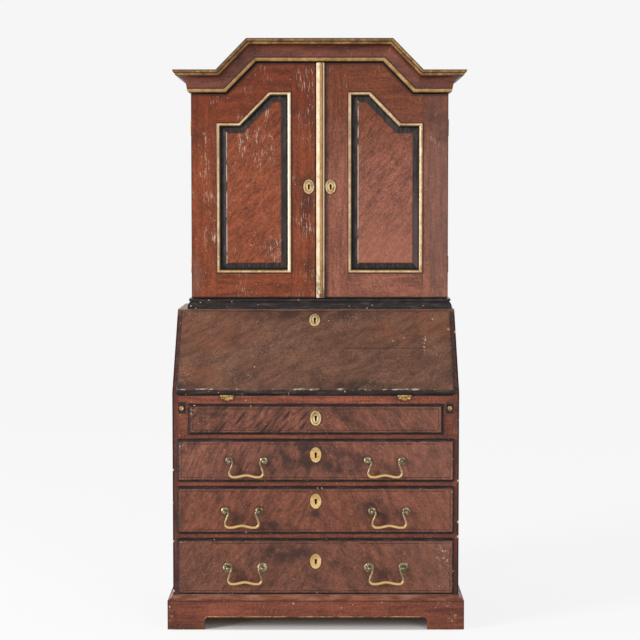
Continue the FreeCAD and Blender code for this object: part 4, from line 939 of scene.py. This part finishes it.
# Tones, slant of the figure and its strength, dark spots, bare spots and shift of each drawer front
DRAWER_LOOKS = {
    "frieze_drawer": (
        shades(116, 72, 57, 0.76, 1.22), 40, 0.88,
        ((0.09, 0.685, 0.07, 0.05), (-0.32, 0.7, 0.08, 0.03)),
        ((-0.4, 0.7, 0.02, 0.02),), (0.1, 0.0, 0.3)),
    "top_drawer": (
        shades(124, 78, 63), 24, 0.4,
        ((-0.05, 0.56, 0.19, 0.09), (0.08, 0.53, 0.12, 0.07)),
        ((-0.43, 0.6, 0.02, 0.02),), (0.4, 0.0, 0.7)),
    "middle_drawer": (
        shades(118, 71, 55), 34, 0.22,
        ((0.0, 0.375, 0.02, 0.03), (0.19, 0.39, 0.08, 0.05), (-0.15, 0.33, 0.06, 0.03)),
        ((0.43, 0.45, 0.02, 0.02),), (0.3, 0.0, 0.5)),
    "bottom_drawer": (
        shades(114, 72, 57), 40, 0.22,
        ((-0.11, 0.245, 0.15, 0.05), (0.0, 0.15, 0.05, 0.05), (0.08, 0.2, 0.05, 0.04)),
        ((0.405, 0.235, 0.03, 0.05), (-0.434, 0.283, 0.012, 0.008), (0.42, 0.2, 0.012, 0.03)),
        (0.6, 0.0, 0.3)),
}
for drawer, look in DRAWER_LOOKS.items():
    dress(drawer_paint(drawer, *look), drawer + "_front")
    dress(wood, drawer + "_box")
for drawer in HANDLES:
    dress(bail_brass, drawer + "_left_bail", drawer + "_right_bail")
    dress(post_bronze, drawer + "_handle_posts")
    dress(lock_iron, drawer + "_lock")
    dress_part(plain_plate, drawer + "_lock", lambda at: at.y < DRAWER_FACE + 0.0005)
dress(lock_iron, "frieze_drawer_lock", "right_door_lock", "fall_lock")
dress_part(ringed_plate, "frieze_drawer_lock", lambda at: at.y < DRAWER_FACE + 0.0005)
dress_part(ringed_plate, "right_door_lock", lambda at: at.y < DOOR_FACE + 0.0001)
dress_part(ringed_plate, "fall_lock", lambda at: (at - FALL_FOOT).dot(FALL_OUT) > FALL_FACE - 0.0001)
dress(ringed_plate, "left_door_keyhole_plate")
dress(black_paint("loper_black", 0.2, (0.3, 0.3, 0.3)), "left_loper", "right_loper")
for name in ("left_loper", "right_loper"):
    dress_part(wood, name, lambda at: at.y > FRONT)
    dress_part(knob_brass, name, lambda at: at.y < FRONT - 0.0016)
dress(hinge_brass, "fall_hinge_bed_leaves", "fall_hinge_leaves", "door_hinge_case_leaves",
      "left_door_hinge_leaves", "right_door_hinge_leaves")
dress(wood, "bureau_bottom", "pigeonhole_boards", "cabinet_bottom", "cabinet_roof", "cabinet_shelves",
      "left_small_drawer", "right_small_drawer")
dress(back_boards(), "bureau_back", "cabinet_back")
for name in ("left_small_drawer", "right_small_drawer"):
    dress_part(knob_brass, name, lambda at: at.y < SMALL_DRAWER_FACE)


# Small brasses modelled by hand
QUARTER_TURN = math.radians(90)


def mode(word):
    bpy.ops.object.mode_set(mode=word)


def shape_all(action, **settings):
    """One edit of the whole piece in hand."""
    bpy.ops.mesh.select_all(action="SELECT")
    action(**settings)


def pick(kind, belongs):
    """Selects the points, edges or faces of the piece in hand that pass a test."""
    bpy.ops.mesh.select_mode(type=kind)
    bpy.ops.mesh.select_all(action="DESELECT")
    mode("OBJECT")
    mesh = bpy.context.object.data
    for item in {"VERT": mesh.vertices, "EDGE": mesh.edges, "FACE": mesh.polygons}[kind]:
        item.select = belongs(item)
    mode("EDIT")


def finished_brass():
    """Merged, turned outwards and smoothed, back in object mode."""
    shape_all(bpy.ops.mesh.remove_doubles, threshold=0.000002)
    shape_all(bpy.ops.mesh.normals_make_consistent)
    mode("OBJECT")
    bpy.ops.object.shade_smooth_by_angle(angle=math.radians(40))
    return bpy.context.object


def set_copies(pattern, material, copies):
    """Copies of a modelled piece, each with its own mesh, set in place and hung on a body."""
    for name, body, place in copies:
        piece = pattern.copy()
        piece.data = pattern.data.copy()
        piece.name = name
        piece.data.name = name
        piece.data.transform(place)
        piece.data.materials.append(material)
        scene.collection.objects.link(piece)
        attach(piece, body)
    bpy.data.objects.remove(pattern)


PETALS = 12
PETAL_HALF_WIDTH = 0.0039
PETAL_HALF_THICK = 0.0015
PETAL_HALF_LENGTH = 0.0058
PETAL_MIDDLE = 0.0112
PETAL_STAND = 0.0024
PETAL_TILT = 17.0
COLLAR_RADIUS = 0.0062
COLLAR_ROUND = 0.0011
COLLAR_STAND = 0.004


def petal_rose():
    """Rose of twelve tapered petals round a collar, looking to the front from the origin."""
    bpy.ops.object.select_all(action="DESELECT")
    bpy.ops.mesh.primitive_uv_sphere_add(segments=16, ring_count=10, radius=1.0)
    mode("EDIT")
    for height, width in ((-0.2, 0.9), (-0.55, 0.8), (-0.85, 0.8)):
        pick("VERT", lambda point: point.co.z < height)
        bpy.ops.transform.resize(value=(width, 1.0, 1.0), center_override=ORIGIN)
    shape_all(bpy.ops.transform.resize, value=(PETAL_HALF_WIDTH, PETAL_HALF_THICK, PETAL_HALF_LENGTH),
              center_override=ORIGIN)
    shape_all(bpy.ops.transform.rotate, value=math.radians(PETAL_TILT), orient_axis="X",
              center_override=ORIGIN)
    shape_all(bpy.ops.transform.translate, value=(0.0, -PETAL_STAND, PETAL_MIDDLE))
    shape_all(bpy.ops.mesh.spin, steps=PETALS - 1, dupli=True, angle=math.tau * (PETALS - 1) / PETALS,
              center=ORIGIN, axis=(0.0, 1.0, 0.0))
    bpy.ops.mesh.primitive_torus_add(major_radius=COLLAR_RADIUS, minor_radius=COLLAR_ROUND,
                                     major_segments=32, minor_segments=10,
                                     location=(0.0, -COLLAR_STAND, 0.0), rotation=(QUARTER_TURN, 0.0, 0.0))
    return finished_brass()


PIN_RADIUS = 0.0015
PIN_STAND = 0.0009
PIN_RISE = 0.0205
RINGED_PIN_RISE = 0.0178


def plate_pin():
    """Domed pin head looking to the front from the origin."""
    bpy.ops.object.select_all(action="DESELECT")
    bpy.ops.mesh.primitive_uv_sphere_add(segments=16, ring_count=10, radius=PIN_RADIUS,
                                         rotation=(QUARTER_TURN, 0.0, 0.0))
    bpy.ops.object.transform_apply(rotation=True)
    mode("EDIT")
    shape_all(bpy.ops.mesh.bisect, plane_co=ORIGIN, plane_no=(0.0, 1.0, 0.0), use_fill=True,
              clear_outer=True)
    shape_all(bpy.ops.transform.resize, value=(1.0, PIN_STAND / PIN_RADIUS, 1.0), center_override=ORIGIN)
    return finished_brass()


SCREW_RADIUS = 0.0029
SCREW_STAND = 0.0005
SLOT_HALF = 0.0004
SLOT_DEPTH = 0.0004


def screw_head():
    """Slotted screw head looking up from the origin."""
    bpy.ops.object.select_all(action="DESELECT")
    bpy.ops.mesh.primitive_cylinder_add(vertices=24, radius=SCREW_RADIUS, depth=SCREW_STAND,
                                        location=(0.0, 0.0, SCREW_STAND / 2))
    bpy.ops.object.transform_apply(location=True)
    mode("EDIT")
    pick("FACE", lambda face: face.center.z > SCREW_STAND * 0.9)
    bpy.ops.transform.resize(value=(0.86, 0.86, 1.0), center_override=(0.0, 0.0, SCREW_STAND))
    for side in (-SLOT_HALF, SLOT_HALF):
        shape_all(bpy.ops.mesh.bisect, plane_co=(side, 0.0, 0.0), plane_no=(1.0, 0.0, 0.0))
    pick("FACE", lambda face: face.center.z > SCREW_STAND * 0.9 and abs(face.center.x) < SLOT_HALF)
    bpy.ops.mesh.extrude_region_move(TRANSFORM_OT_translate={"value": (0.0, 0.0, -SLOT_DEPTH)})
    return finished_brass()


STRAP_STAND = 0.0004
STRAP_CORNER = 0.0019
STRAP_BORDER = 0.0007
STRAP_LOBES = ((-0.0138, 0.0098, 0.0066), (0.0, 0.015, 0.0105), (0.0136, 0.0102, 0.007))


def hinge_strap():
    """Front leaf of a fall hinge: three round-ended lobes below the knuckles, the middle one longest."""
    bpy.ops.object.select_all(action="DESELECT")
    for i, (x, width, height) in enumerate(STRAP_LOBES):
        bpy.ops.mesh.primitive_cube_add(size=1.0, location=(x, -STRAP_STAND / 2, -height / 2),
                                        scale=(width, STRAP_STAND, height))
        if i == 0:
            bpy.ops.object.transform_apply(location=True, scale=True)
            mode("EDIT")
    mesh = bpy.context.object.data

    def lower_corner(edge):
        first, second = (mesh.vertices[i].co for i in edge.vertices)
        through = abs(first.y - second.y) > STRAP_STAND / 2
        return through and max(first.z, second.z) < -STRAP_CORNER

    pick("EDGE", lower_corner)
    bpy.ops.mesh.bevel(offset=STRAP_CORNER, segments=5)
    pick("FACE", lambda face: face.center.y < -STRAP_STAND * 0.9)
    bpy.ops.mesh.inset(thickness=STRAP_BORDER, depth=-STRAP_STAND / 2)
    return finished_brass()


def on_fall(x, up, out):
    """Turns a piece that looks to the front so that it lies on the slope, at a place on it."""
    turn = Matrix.Rotation(FALL_SLOPE - QUARTER_TURN, 4, "X")
    return Matrix.Translation(FALL_FOOT + Vector((x, 0.0, 0.0)) + FALL_UP * up + FALL_OUT * out) @ turn


roses = []
for side, word in ((-1, "left"), (1, "right")):
    handle_x, handle_z = HANDLES["bottom_drawer"]
    for step, end in ((-HANDLE_HALF, "left_post"), (HANDLE_HALF, "right_post")):
        at = Matrix.Translation((side * handle_x + step, DRAWER_FACE, handle_z))
        roses.append(("bottom_drawer_" + word + "_handle_rose_" + end, "bottom_drawer", at))
set_copies(petal_rose(), post_bronze, roses)

pins = []
for body, (key_x, key_z) in KEYHOLES.items():
    ringed = body not in HANDLES
    reach = RINGED_PIN_RISE if ringed else PIN_RISE
    face = (DOOR_FACE if "door" in body else DRAWER_FACE) - (PLATE_THICK if ringed else PLATE_THICK / 2)
    for rise, word in ((-reach, "lower"), (reach, "upper")):
        pins.append((body + "_plate_pin_" + word, body, Matrix.Translation((key_x, face, key_z + rise))))
for rise, word in ((-RINGED_PIN_RISE, "lower"), (RINGED_PIN_RISE, "upper")):
    at = on_fall(FALL_KEY_X, FALL_KEY_UP + rise, FALL_FACE + PLATE_THICK)
    pins.append(("fall_plate_pin_" + word, "fall", at))
set_copies(plate_pin(), knob_brass, pins)

LEAF_SCREWS = ((-0.014, 0.026), (0.0, 0.015), (0.014, 0.026))
screws = []
straps = []
for side, word in ((-1, "left"), (1, "right")):
    for i, (step, reach) in enumerate(LEAF_SCREWS):
        x = side * FALL_HINGE_X + step
        bed_at = Matrix.Translation((x, FRONT + reach, BED_TOP))
        screws.append((f"{word}_bed_leaf_screw_{i + 1}", "carcase", bed_at))
        inner = on_fall(x, reach, 0.0) @ Matrix.Rotation(-QUARTER_TURN, 4, "X")
        screws.append((f"{word}_fall_leaf_screw_{i + 1}", "fall", inner))
    strap_at = Matrix.Translation((side * FALL_HINGE_X, FRONT, STRAP_TOP))
    straps.append((word + "_fall_hinge_strap", "carcase", strap_at))
set_copies(screw_head(), hinge_brass, screws)
set_copies(hinge_strap(), hinge_brass, straps)


# Floor, light and camera
FLOOR_SIZE = 40.0
FLOOR_MIDDLE = (0.0, 12.0, 0.0)
FLOOR_SEEN = 1.04
FLOOR_EVEN = 0.8
SKY_SEEN = 0.92
SKY_LIGHT = 0.38
SHADE_ENDS_X = (0.474, 0.455)
SHADE_ENDS_Y = (0.265, 0.245)
WHITE = (1.0, 1.0, 1.0, 1.0)
bpy.ops.object.select_all(action="DESELECT")
bpy.ops.mesh.primitive_plane_add(size=FLOOR_SIZE, location=FLOOR_MIDDLE)
bpy.ops.object.transform_apply(location=True)
floor = bpy.context.object
floor.name = "studio_floor"
pale = Finish("studio_floor_pale")
pale.colour = tint(236, 236, 235)
pale.done(0.9, gloss=0.0)
far = pale.rise(pale.y, 0.4, 6.0)
brightness = pale.less(FLOOR_SEEN, pale.part(far, FLOOR_SEEN - SKY_SEEN))
lit = pale.node("ShaderNodeEmission", {"Color": WHITE, "Strength": brightness})
beneath = pale.both(pale.rise(pale.off(pale.x), *SHADE_ENDS_X), pale.rise(pale.off(pale.y), *SHADE_ENDS_Y))
even = pale.plus(pale.part(far, 1.0 - FLOOR_EVEN), FLOOR_EVEN)
white = pale.both(pale.seen(), pale.less(even, pale.part(beneath, FLOOR_EVEN)))
blend = pale.node("ShaderNodeMixShader", {0: white, 1: pale.shader.outputs[0], 2: lit.outputs[0]})
pale.tree.links.new(blend.outputs[0], pale.tree.nodes["Material Output"].inputs["Surface"])
floor.data.materials.append(pale.material)

world = bpy.data.worlds.new("studio")
scene.world = world
world.use_nodes = True
sky = Nodes(world.node_tree)
level = sky.node("ShaderNodeMapRange", {"Value": sky.seen(), "To Min": SKY_LIGHT, "To Max": SKY_SEEN})
backdrop = sky.tree.nodes["Background"].inputs
sky.put(backdrop["Color"], WHITE)
sky.put(backdrop["Strength"], level.outputs["Result"])


def softbox(name, place, target, size, power):
    light = bpy.data.lights.new(name, "AREA")
    light.shape = "RECTANGLE"
    light.size, light.size_y = size
    light.energy = power
    lamp = bpy.data.objects.new(name, light)
    lamp.location = place
    lamp.rotation_euler = (Vector(target) - Vector(place)).to_track_quat("-Z", "Y").to_euler()
    scene.collection.objects.link(lamp)


softbox("softbox_left", (-6.8, -3.9, 2.7), (0.0, -0.1, 1.0), (2.4, 3.4), 600.0)
softbox("softbox_front", (2.6, -4.6, 2.6), (0.0, -0.1, 0.9), (2.5, 2.0), 60.0)

SENSOR = 36.0
FOCAL_WIDTHS = 2.45
LENS_SHIFT = (-0.0087, -0.0593)
CAMERA_PLACE = (0.0313, FRONT - 4.973, 1.376)
CAMERA_DIP = math.radians(3.023)
lens = bpy.data.cameras.new("front_view")
lens.sensor_width = SENSOR
lens.lens = SENSOR * FOCAL_WIDTHS
lens.shift_x, lens.shift_y = LENS_SHIFT
camera = bpy.data.objects.new("front_view", lens)
camera.location = CAMERA_PLACE
camera.rotation_euler = (QUARTER_TURN - CAMERA_DIP, 0.0, 0.0)
scene.collection.objects.link(camera)
scene.camera = camera
scene.view_settings.view_transform = "Standard"
